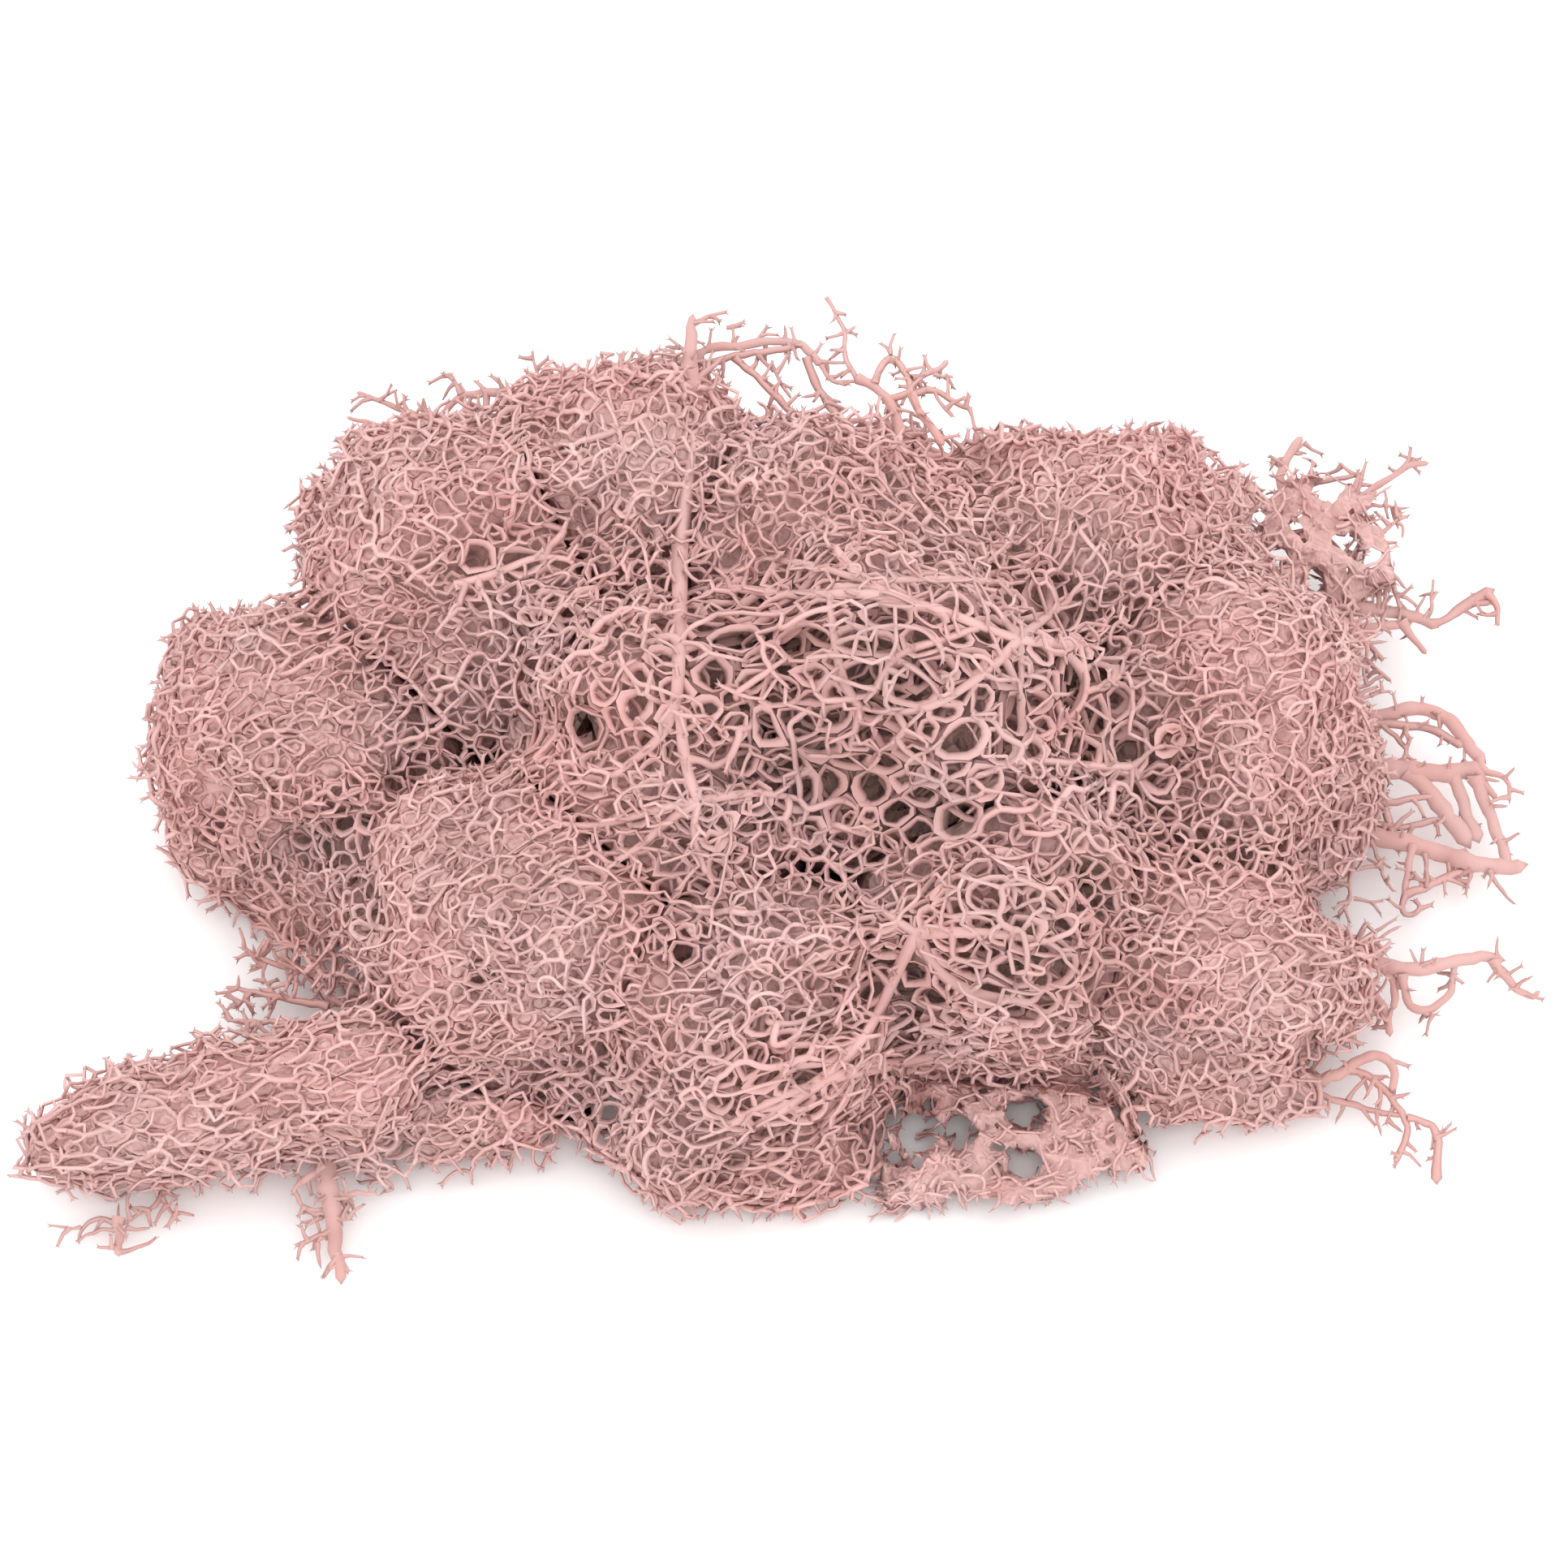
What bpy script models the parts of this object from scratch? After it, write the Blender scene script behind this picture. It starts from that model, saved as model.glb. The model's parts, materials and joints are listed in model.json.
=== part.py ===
"""A clump of reindeer moss: matted tufts of branches, with loose sprigs round the edge.

Sizes are in millimetres. Places are read in a reference view that looks down on the clump from the
front, as a pixel of that view and a height above the surface that the clump rests on.
"""

import math

import bmesh
import bpy
import numpy as np
from mathutils import Matrix, Vector, noise
from mathutils.bvhtree import BVHTree

MM = 0.001

# The reference view looks along +Y and down at the clump.
VIEW_TILT = math.radians(55)
VIEW_DISTANCE = 600.0
VIEW_MIDDLE_PIXEL = 966
VIEW_SCALE = 0.0806  # mm a pixel, at the target
VIEW_TARGET = Vector((-0.3, -1.0, 18.0))

# Neighbouring pieces keep this gap.
GAP = 0.4

# The tufts' surface
TUFT_ROWS = 6  # rows of faces along each side of the cube that a tuft is rounded from
THIN_ROWS = 5
LUMP_WIDTH = 9.0
LUMP_HEIGHT = 1.5
KNOT_WIDTH = 4.0
KNOT_HEIGHT = 0.8
LOBE_BLEND = 7  # the higher, the sharper the crease between two lobes
MIN_RADIUS = 1.5
LEAST_SLANT = 0.01  # a branch that runs nearly along a wall isn't cut short by it

# Branch tips that stand out of a tuft
TIP_EVERY = 9
TIP_LENGTH = 2.4
TIP_WIDTH_LEFT = 0.25
TIP_CLEARANCE = 0.6
TIP_BEND = 0.8
TIP_BEND_SEED = 7
TIP_LEAST_RISE = -0.3  # faces that look further down than this carry no tips

# Sprigs
SPRIG_STEP = 4.0
SPRIG_CLEARANCE = 1.5  # half widths: a stem is square, so its corners reach further than its half width
SPRIG_TRIM_STEPS = 6
SPRIG_LEAST_STUB = 0.8
RAY_STEP = 0.001

COLOUR = (0.66, 0.34, 0.31)
ROUGHNESS = 0.85


def lobe(px, py, height, radii, turn=0.0):
    """A rounded mass: its middle in the view, its radii across, back and up, and its turn in degrees."""
    return {"middle": seen_at(px, py, height), "radii": radii, "turn": math.radians(turn)}


def view_axes():
    """The view's right, up and forward directions."""
    right = Vector((1, 0, 0))
    up = Vector((0, math.sin(VIEW_TILT), math.cos(VIEW_TILT)))
    return right, up, up.cross(right)


def seen_at(px, py, height):
    """The point at this height that the view shows at this pixel."""
    right, up, forward = view_axes()
    eye = VIEW_TARGET - forward * VIEW_DISTANCE
    across = (px - VIEW_MIDDLE_PIXEL) * VIEW_SCALE
    above = (VIEW_MIDDLE_PIXEL - py) * VIEW_SCALE
    ray = VIEW_TARGET + right * across + up * above - eye
    return eye + ray * ((height - eye.z) / ray.z)


def in_view(point):
    """The pixel at which the view shows a point."""
    right, up, forward = view_axes()
    offset = Vector(point) - VIEW_TARGET
    nearer = VIEW_DISTANCE / (VIEW_DISTANCE + offset.dot(forward))
    px = VIEW_MIDDLE_PIXEL + offset.dot(right) * nearer / VIEW_SCALE
    py = VIEW_MIDDLE_PIXEL - offset.dot(up) * nearer / VIEW_SCALE
    return px, py


# All the tufts but the long lobe fill this low dome up to their neighbours, so the clump has no gaps.
DOME = {"middle": Vector((-3.0, 2.0, 0.0)), "radii": (53, 31, 22), "turn": 0.0}

# Each tuft is one or more lobes. The first holds the tuft's heart, which every branch points away from.
TUFTS = {
    "crest_tuft": [
        lobe(770, 600, 28, (12, 11, 14)),
        lobe(815, 505, 30, (6, 5, 6)),
        lobe(690, 540, 26, (6, 6, 8)),
        lobe(760, 660, 10, (13, 12, 11)),
    ],
    "shoulder_tuft": [
        lobe(585, 690, 23, (16.5, 14, 16)),
        lobe(455, 650, 17, (7.5, 9, 10)),
        lobe(560, 750, 8, (17, 14, 9)),
    ],
    "left_tuft": [
        lobe(345, 925, 13, (12.5, 13, 13)),
        lobe(270, 840, 10, (6.5, 7, 8)),
        lobe(285, 1050, 5, (6, 5.5, 5)),
        lobe(430, 920, 8, (12, 13, 12)),
    ],
    "upper_middle_tuft": [
        lobe(1020, 680, 27, (15, 13, 14)),
        lobe(1125, 600, 24, (7, 7, 8)),
        lobe(1020, 750, 9, (15, 13, 10)),
    ],
    "upper_right_tuft": [
        lobe(1320, 680, 22, (16, 13, 14)),
        lobe(1430, 650, 16, (9, 10, 10)),
        lobe(1330, 740, 8, (17, 13, 9)),
    ],
    "right_tuft": [
        lobe(1510, 890, 17, (15, 15, 16)),
        lobe(1590, 980, 8, (8, 12, 8)),
        lobe(1620, 790, 9, (7, 7, 7)),
        lobe(1500, 930, 6, (15, 17, 8)),
    ],
    "centre_web": [
        lobe(1110, 870, 27, (19, 14, 17)),
        lobe(1110, 950, 10, (17, 14, 11)),
    ],
    "middle_tuft": [
        lobe(830, 930, 24, (15, 15, 17)),
        lobe(830, 1010, 8, (14, 14, 10)),
    ],
    "front_left_tuft": [
        lobe(640, 1140, 15, (17, 14, 15)),
        lobe(450, 1190, 8, (8, 9, 8)),
        lobe(600, 1220, 5, (14, 11, 6)),
        lobe(600, 1390, 3, (8, 4, 4)),
    ],
    "front_tuft": [
        lobe(930, 1250, 14, (14, 13, 13)),
        lobe(870, 1410, 6, (9, 6, 6)),
        lobe(950, 1330, 5, (13, 12, 6)),
        lobe(960, 1420, 3, (11, 5, 4)),
    ],
    "front_right_tuft": [
        lobe(1240, 1150, 16, (15, 13, 15)),
        lobe(1230, 1230, 4, (16, 10, 6)),
    ],
    "lower_right_tuft": [
        lobe(1480, 1210, 11, (15, 12, 11)),
        lobe(1610, 1200, 6, (7, 8, 6)),
        lobe(1480, 1310, 4, (13, 8, 4)),
    ],
}
LONG_LOBE = {
    "lower_left_lobe": [
        lobe(310, 1365, 7, (18, 6.5, 7.5), turn=14),
        lobe(122, 1402, 6, (6.5, 5, 6)),
        lobe(220, 1385, 6, (9, 6, 5.5), turn=12),
        lobe(470, 1335, 8, (12, 6.5, 8), turn=16),
    ],
}
FRINGE = {
    "front_fringe_tuft": [lobe(590, 1385, 4, (9.5, 4.5, 4.5))],
}

# Thin nets lie flat, with holes that the view sees through.
NETS = {
    "back_right_net": [
        lobe(1590, 665, 10, (9, 8.5, 4)),
        lobe(1500, 640, 11, (8, 6, 4)),
        lobe(1650, 705, 9, (4.5, 4.5, 3.5)),
    ],
    "lower_right_mat": [
        lobe(1230, 1395, 2.5, (20, 7.5, 3)),
        lobe(1100, 1430, 2.5, (8, 5.5, 3)),
        lobe(1420, 1350, 3, (16, 6, 3.5), turn=12),
    ],
}
NET_HOLES = {
    "back_right_net": [
        (1497, 610, 18),
        (1540, 650, 15),
        (1637, 608, 16),
        (1618, 715, 16),
        (1662, 672, 15),
        (1572, 688, 13),
    ],
    "lower_right_mat": [
        (1130, 1395, 22),
        (1180, 1390, 18),
        (1265, 1370, 22),
        (1262, 1432, 20),
        (1220, 1312, 12),
        (1100, 1430, 10),
        (1395, 1335, 12),
    ],
}
NET_HOLE_REACH = 12.0
NET_HOLE_SIDES = 6

# Dark hollows between the stems: pixel, radius in pixels and depth in mm
HOLLOWS = [
    (905, 785, 30, 4),
    (985, 790, 24, 4),
    (875, 845, 24, 4),
    (1320, 840, 26, 5),
    (1185, 910, 22, 3),
    (1250, 880, 22, 3),
    (720, 895, 26, 5),
    (840, 1170, 30, 5),
    (430, 1030, 34, 5),
    (440, 1110, 40, 5),
    (640, 690, 24, 3),
    (1060, 835, 22, 3),
    (945, 900, 26, 4),
    (1075, 965, 34, 5),
    (1140, 1010, 30, 4),
    (1350, 1130, 30, 4),
    (1050, 1090, 26, 3),
    (1120, 1210, 24, 3),
    (590, 1210, 22, 3),
    (740, 1240, 24, 3),
    (515, 940, 30, 4),
    (1400, 920, 24, 3),
    (1265, 750, 26, 4),
    (1210, 600, 24, 3),
    (690, 530, 24, 3),
    (890, 1440, 26, 3),
]

# Each sprig is a set of routes that join where they share a point: pixel, height and half width in mm.
SPRIGS = {
    "crest_sprig": [
        [(858, 500, 42, 1.2), (852, 445, 40, 1.3), (856, 392, 38, 0.9), (890, 388, 37, 0.4)],
    ],
    "top_arc_sprig": [
        [
            (905, 437, 36, 1.0),
            (940, 430, 36, 1.0),
            (976, 422, 36, 1.0),
            (1008, 445, 36, 1.0),
            (1050, 465, 36, 0.8),
        ],
        [
            (1050, 465, 36, 0.8),
            (1085, 478, 36, 0.9),
            (1118, 490, 36, 0.9),
            (1148, 466, 35, 0.6),
            (1182, 420, 35, 0.4),
        ],
        [(1050, 465, 36, 0.8), (1040, 410, 36, 0.6), (1019, 364, 36, 0.4)],
        [(1008, 445, 36, 1.0), (1004, 470, 35, 0.6), (1022, 502, 34, 0.5)],
        [(940, 430, 36, 1.0), (947, 485, 35, 0.6), (965, 510, 34, 0.5)],
        [(1085, 478, 36, 0.9), (1099, 434, 36, 0.5), (1118, 490, 36, 0.9)],
    ],
    "top_left_sprig": [
        [(542, 505, 22, 0.7), (568, 485, 23, 0.9), (626, 479, 25, 0.7), (672, 465, 27, 0.8)],
        [(568, 485, 23, 0.9), (551, 459, 23, 0.4)],
        [(672, 465, 27, 0.8), (657, 433, 27, 0.4)],
        [(542, 505, 22, 0.7), (465, 497, 20, 0.5), (442, 482, 19, 0.4)],
    ],
    "upper_right_sprig": [
        [(1696, 606, 10, 0.8), (1725, 584, 10, 0.8), (1757, 570, 10, 0.6)],
        [(1696, 606, 10, 0.8), (1719, 655, 9, 0.7), (1718, 700, 9, 0.7), (1728, 742, 8, 0.6)],
        [(1696, 606, 10, 0.8), (1645, 578, 12, 0.7), (1602, 570, 12, 0.7), (1600, 543, 12, 0.6)],
    ],
    "right_arm_sprig": [
        [
            (1690, 770, 9, 1.4),
            (1725, 755, 9, 1.2),
            (1760, 770, 8, 1.2),
            (1795, 754, 8, 0.9),
            (1838, 728, 9, 0.8),
        ],
        [(1760, 770, 8, 1.2), (1755, 800, 7, 0.6)],
        [(1760, 770, 8, 1.2), (1766, 714, 9, 0.4)],
        [(1838, 728, 9, 0.8), (1847, 765, 8, 0.5)],
    ],
    "right_fan_sprig": [
        [
            (1715, 885, 7, 1.3),
            (1765, 872, 7, 1.2),
            (1800, 905, 6, 1.2),
            (1830, 940, 6, 1.2),
            (1856, 950, 6, 0.9),
        ],
        [(1856, 950, 6, 0.9), (1858, 985, 5, 0.5)],
        [
            (1715, 885, 7, 1.3),
            (1770, 905, 6, 0.8),
            (1812, 935, 6, 0.8),
            (1830, 985, 5, 1.2),
            (1848, 1035, 4, 1.2),
        ],
        [(1848, 1035, 4, 1.2), (1866, 1068, 4, 1.0), (1810, 1075, 4, 1.1), (1745, 1095, 4, 0.8)],
        [(1715, 950, 6, 1.1), (1770, 945, 6, 1.0), (1812, 935, 6, 0.8)],
        [(1715, 950, 6, 1.1), (1715, 885, 7, 1.3)],
        [(1715, 950, 6, 1.1), (1745, 1000, 5, 0.9), (1790, 1035, 4, 1.0), (1810, 1075, 4, 1.1)],
        [(1745, 1000, 5, 0.9), (1700, 1040, 4, 0.7), (1745, 1095, 4, 0.8)],
        [(1745, 1000, 5, 0.9), (1830, 985, 5, 1.2)],
    ],
    "lower_right_sprig": [
        [
            (1705, 1175, 5, 1.2),
            (1740, 1190, 5, 1.3),
            (1785, 1186, 4, 1.1),
            (1835, 1175, 4, 1.1),
            (1862, 1202, 4, 1.0),
        ],
        [(1862, 1202, 4, 1.0), (1890, 1226, 3, 0.8)],
        [(1740, 1190, 5, 1.3), (1748, 1242, 4, 0.9), (1786, 1222, 4, 0.9), (1785, 1186, 4, 1.1)],
        [(1740, 1190, 5, 1.3), (1708, 1225, 4, 1.2), (1712, 1268, 3, 1.0)],
        [(1705, 1175, 5, 1.2), (1708, 1225, 4, 1.2)],
        [(1835, 1175, 4, 1.1), (1850, 1148, 5, 0.5)],
    ],
    "curl_sprig": [
        [
            (1600, 1335, 4, 1.1),
            (1650, 1322, 4, 1.0),
            (1690, 1300, 4, 1.0),
            (1718, 1312, 4, 1.1),
            (1728, 1350, 3, 1.1),
        ],
        [(1728, 1350, 3, 1.1), (1742, 1380, 3, 1.1), (1768, 1392, 3, 1.1), (1770, 1446, 2, 0.8)],
        [(1742, 1380, 3, 1.1), (1722, 1426, 2, 0.7)],
        [(1650, 1322, 4, 1.0), (1675, 1372, 3, 0.5), (1742, 1380, 3, 1.1)],
    ],
    "hanging_sprig": [
        [(405, 1420, 3, 1.3), (412, 1500, 3, 1.4), (415, 1540, 3, 1.3), (422, 1568, 3, 1.1)],
        [(412, 1500, 3, 1.4), (364, 1532, 3, 0.7)],
    ],
    "lobe_sprig": [
        [(146, 1486, 2, 0.5), (148, 1512, 2, 0.9), (150, 1540, 2, 0.8), (190, 1526, 2, 0.5)],
        [(148, 1512, 2, 0.9), (100, 1507, 2, 0.6), (66, 1512, 2, 0.4)],
    ],
    "left_fringe_sprig": [
        [
            (430, 1180, 6, 0.8),
            (378, 1172, 6, 0.8),
            (352, 1212, 5, 0.7),
            (335, 1252, 4, 0.6),
            (279, 1256, 3, 0.4),
        ],
        [(352, 1212, 5, 0.7), (281, 1214, 4, 0.4)],
        [(378, 1172, 6, 0.8), (302, 1158, 6, 0.4)],
    ],
}


def lobe_reach(heart, directions, mass):
    """How far rays from the heart run until they leave a lobe, and 0 for those that miss it."""
    cos, sin = math.cos(mass["turn"]), math.sin(mass["turn"])
    across = np.array([[cos, sin, 0], [-sin, cos, 0], [0, 0, 1]])
    ray = directions @ across.T / np.array(mass["radii"])
    start = across @ np.array(heart - mass["middle"]) / np.array(mass["radii"])
    square = (ray**2).sum(axis=1)
    half = ray @ start
    inside = half**2 - square * (start @ start - 1)
    reach = (np.sqrt(np.maximum(inside, 0)) - half) / square
    return np.where((inside > 0) & (reach > 0), reach, 0)


def reach_towards(heart, directions, lobes):
    """How far a tuft reaches from its heart, over all its lobes."""
    reaches = np.array([lobe_reach(heart, directions, mass) for mass in lobes])
    return ((reaches**LOBE_BLEND).sum(axis=0)) ** (1 / LOBE_BLEND)


def walls_of(name, masses):
    """The flat walls between a piece and its neighbours: the way to each, and how far off its wall is."""
    heart = masses[name][0]["middle"]
    walls = []
    for other, lobes in masses.items():
        if other == name:
            continue
        way = lobes[0]["middle"] - heart
        apart = way.length
        way.normalize()
        own = reach_towards(heart, np.array([way]), masses[name])[0]
        theirs = reach_towards(lobes[0]["middle"], np.array([-way]), lobes)[0]
        walls.append((way, apart * own / (own + theirs) - GAP / 2))
    return walls


def kept_inside(heart, directions, reach, walls):
    """The reach, cut short by the neighbours' walls and by the surface that the clump rests on."""
    for way, distance in walls:
        reach = np.minimum(reach, distance / np.maximum(directions @ np.array(way), LEAST_SLANT))
    return np.minimum(reach, heart.z / np.maximum(-directions[:, 2], LEAST_SLANT))


def lumps(point):
    """The height of the tangle's lumps and knots at a point."""
    lump = noise.noise(Vector(point) / LUMP_WIDTH) * LUMP_HEIGHT
    return lump + noise.noise(Vector(point) / KNOT_WIDTH) * KNOT_HEIGHT


def hollow_depth(point, outward):
    """How deep the hollows that the view sees are at a point of the surface."""
    facing = max(0.0, -outward.dot(view_axes()[2]))
    px, py = in_view(point)
    depths = [
        depth * math.exp(-((px - x) ** 2 + (py - y) ** 2) / (2 * radius**2))
        for x, y, radius, depth in HOLLOWS
    ]
    return max(depths) * facing


def round_cage(rows, mass):
    """A sphere of radius 1 from a divided cube, its faces closest together where the mass is longest."""
    cage = bmesh.new()
    bmesh.ops.create_cube(cage, size=2)
    bmesh.ops.subdivide_edges(cage, edges=cage.edges[:], cuts=rows - 1, use_grid_fill=True)
    turned = Matrix.Rotation(mass["turn"], 3, "Z")
    for corner in cage.verts:
        even = Vector([math.tan(side * math.pi / 4) for side in corner.co]).normalized()
        corner.co = (turned @ (even * Vector(mass["radii"]))).normalized()
    return cage


def shape_mass(name, masses, rows):
    """The matted body of a tuft or a net, as a bmesh, and its walls."""
    heart = masses[name][0]["middle"]
    walls = walls_of(name, masses)
    cage = round_cage(rows, masses[name][0])
    directions = np.array([corner.co[:] for corner in cage.verts])
    filled = [DOME] if name in TUFTS else []
    reach = reach_towards(heart, directions, masses[name] + filled)
    for index, corner in enumerate(cage.verts):
        surface = heart + corner.co * reach[index]
        reach[index] += lumps(surface) - hollow_depth(surface, corner.co)
    reach = kept_inside(heart, directions, np.maximum(reach, MIN_RADIUS), walls)
    for index, corner in enumerate(cage.verts):
        corner.co = heart + corner.co * reach[index]
        if corner.co.z < GAP:
            corner.co.z = 0
    return cage, walls


def room_at(point, heart, walls):
    """How far a point is from the nearest wall or from the surface below."""
    offset = point - heart
    return min([point.z] + [distance - offset.dot(way) for way, distance in walls])


def add_tips(cage, heart, walls):
    """Draws some of the outer faces out into branch tips."""
    cage.normal_update()
    free = [
        face
        for index, face in enumerate(cage.faces)
        if index % TIP_EVERY == 0
        and face.normal.z > TIP_LEAST_RISE
        and room_at(face.calc_center_median() + face.normal * TIP_LENGTH, heart, walls) > TIP_CLEARANCE
    ]
    drawn = bmesh.ops.extrude_discrete_faces(cage, faces=free)["faces"]
    for face in drawn:
        middle = face.calc_center_median()
        side = Vector(noise.noise_vector(middle)) * TIP_BEND
        away = (middle - heart).normalized() + face.normal + side
        tip = middle + away.normalized() * TIP_LENGTH
        for corner in face.verts:
            corner.co = tip + (corner.co - middle) * TIP_WIDTH_LEFT


def material_for(name):
    """The dusty pink, matte finish, one of its own for each piece."""
    finish = bpy.data.materials.new(name)
    finish.use_nodes = True
    shader = finish.node_tree.nodes["Principled BSDF"]
    shader.inputs["Base Color"].default_value = (*COLOUR, 1)
    shader.inputs["Roughness"].default_value = ROUGHNESS
    shader.inputs["Metallic"].default_value = 0
    return finish


def add_object(name, cage, collection):
    """Makes a bmesh, in mm, an object in metres."""
    bmesh.ops.scale(cage, vec=(MM, MM, MM), verts=cage.verts)
    mesh = bpy.data.meshes.new(name)
    cage.to_mesh(mesh)
    cage.free()
    piece = bpy.data.objects.new(name, mesh)
    collection.objects.link(piece)
    mesh.materials.append(material_for(name))
    return piece


def add_net_holes(piece, name, cutters):
    """Cuts the holes that the view sees through a net."""
    forward = view_axes()[2]
    for index, (px, py, radius) in enumerate(NET_HOLES[name]):
        height = NETS[name][0]["middle"].z
        middle = seen_at(px, py, height) * MM
        bpy.ops.mesh.primitive_cylinder_add(
            vertices=NET_HOLE_SIDES,
            radius=radius * VIEW_SCALE * MM,
            depth=NET_HOLE_REACH * MM,
            location=middle,
            rotation=forward.to_track_quat("Z", "Y").to_euler(),
        )
        cutter = bpy.context.object
        cutter.name = f"{name}_hole_{index}"
        for collection in list(cutter.users_collection):
            collection.objects.unlink(cutter)
        cutters.objects.link(cutter)
        cutter.hide_render = True
        cutter.display_type = "WIRE"
        cut = piece.modifiers.new(cutter.name, "BOOLEAN")
        cut.operation = "DIFFERENCE"
        cut.solver = "EXACT"
        cut.object = cutter


def spaced(route):
    """The route's stops, as points and half widths, with more between them."""
    stops = [(seen_at(px, py, height), width) for px, py, height, width in route]
    close = [stops[0]]
    for (start, wide), (end, narrow) in zip(stops, stops[1:]):
        steps = max(1, round((end - start).length / SPRIG_STEP))
        shares = [step / steps for step in range(1, steps + 1)]
        close += [(start.lerp(end, share), wide + (narrow - wide) * share) for share in shares]
    return close


def is_inside(point, surface):
    """Whether a way straight up from the point leaves the surface more often than it enters."""
    up = Vector((0, 0, 1))
    crossings = 0
    hit = surface.ray_cast(point, up)[0]
    while hit is not None:
        crossings += 1
        hit = surface.ray_cast(hit + up * RAY_STEP, up)[0]
    return crossings % 2 == 1


def clear_of(point, width, surfaces):
    """Whether a stem of this half width at the point keeps clear of the tufts and nets."""
    least = width * SPRIG_CLEARANCE
    near = [surface for surface in surfaces if surface.find_nearest(point)[3] < least + GAP]
    return not near and point.z > least and not any(is_inside(point, surface) for surface in surfaces)


def cut_back(outer, inner, surfaces):
    """The last clear stop on the way out of the clear, in a list that is empty if it is too near."""
    near = 0.0
    far = 1.0
    for _ in range(SPRIG_TRIM_STEPS):
        middle = (near + far) / 2
        if clear_of(outer[0].lerp(inner[0], middle), inner[1], surfaces):
            near = middle
        else:
            far = middle
    stub = outer[0].lerp(inner[0], near)
    return [(stub, inner[1])] if (stub - outer[0]).length > SPRIG_LEAST_STUB else []


def clear_stretches(route, surfaces):
    """The stretches of a route that keep clear of the tufts and nets."""
    stops = spaced(route)
    stretches = [[]]
    for index, stop in enumerate(stops):
        if clear_of(*stop, surfaces):
            if index and not stretches[-1]:
                stretches[-1] += cut_back(stop, stops[index - 1], surfaces)
            stretches[-1].append(stop)
        elif stretches[-1]:
            stretches[-1] += cut_back(stops[index - 1], stop, surfaces)
            stretches.append([])
    return [stretch for stretch in stretches if len(stretch) > 1]


def joined_stretches(stretches):
    """The largest group of stretches that share points, longest first."""
    groups = []
    for stretch in stretches:
        keys = {tuple(round(part, 2) for part in point) for point, _ in stretch}
        meeting = [group for group in groups if group["keys"] & keys]
        merged = {"keys": keys, "stretches": [stretch]}
        for group in meeting:
            merged["keys"] |= group["keys"]
            merged["stretches"] += group["stretches"]
            groups.remove(group)
        groups.append(merged)
    biggest = max(groups, key=lambda group: len(group["keys"]))
    return sorted(biggest["stretches"], key=len, reverse=True)


def add_stem(name, stretch, collection):
    """A stem skinned over a stretch of a route."""
    mesh = bpy.data.meshes.new(name)
    links = [(index, index + 1) for index in range(len(stretch) - 1)]
    mesh.from_pydata([point * MM for point, _ in stretch], links, [])
    stem = bpy.data.objects.new(name, mesh)
    collection.objects.link(stem)
    stem.modifiers.new("stem", "SKIN")
    for index, (_, width) in enumerate(stretch):
        mesh.skin_vertices[0].data[index].radius = (width * MM, width * MM)
    return stem


def add_sprig(name, routes, surfaces, collection, cutters):
    """A branching stem that starts clear of the tuft it grows from, its forks fused to the longest."""
    stretches = [part for route in routes for part in clear_stretches(route, surfaces)]
    stretches = joined_stretches(stretches)
    sprig = add_stem(name, stretches[0], collection)
    sprig.data.materials.append(material_for(name))
    for index, stretch in enumerate(stretches[1:]):
        fork = add_stem(f"{name}_fork_{index}", stretch, cutters)
        fork.hide_render = True
        fork.display_type = "WIRE"
        fuse = sprig.modifiers.new(fork.name, "BOOLEAN")
        fuse.operation = "UNION"
        fuse.solver = "EXACT"
        fuse.object = fork


def surface_of(piece):
    """The piece's evaluated surface, in mm, to measure against."""
    graph = bpy.context.evaluated_depsgraph_get()
    evaluated = piece.evaluated_get(graph)
    mesh = evaluated.to_mesh()
    corners = [corner.co / MM for corner in mesh.vertices]
    faces = [face.vertices[:] for face in mesh.polygons]
    evaluated.to_mesh_clear()
    return BVHTree.FromPolygons(corners, faces)


def new_collection(name):
    """A collection of this name in the scene."""
    collection = bpy.data.collections.new(name)
    bpy.context.scene.collection.children.link(collection)
    return collection


def main():
    """Makes the tufts and nets, then the sprigs that stand clear of them."""
    for thing in list(bpy.data.objects):
        bpy.data.objects.remove(thing, do_unlink=True)
    noise.seed_set(TIP_BEND_SEED)
    clump = new_collection("reindeer_moss_clump")
    cutters = new_collection("cutters")
    masses = {**TUFTS, **LONG_LOBE, **FRINGE, **NETS}
    pieces = []
    for name in masses:
        rows = THIN_ROWS if name in NETS or name in FRINGE else TUFT_ROWS
        cage, walls = shape_mass(name, masses, rows)
        add_tips(cage, masses[name][0]["middle"], walls)
        pieces.append(add_object(name, cage, clump))
        if name in NETS:
            add_net_holes(pieces[-1], name, cutters)
    bpy.context.view_layer.update()
    surfaces = [surface_of(piece) for piece in pieces]
    for name, routes in SPRIGS.items():
        add_sprig(name, routes, surfaces, clump, cutters)


main()
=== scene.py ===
"""The looks of a dusty pink clump of reindeer moss: a tangle of branching strands in place of each solid."""

import heapq
import json
import math
from itertools import product
from types import SimpleNamespace

import bmesh
import bpy
import numpy as np
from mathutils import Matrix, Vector, kdtree
from mathutils.bvhtree import BVHTree

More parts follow.
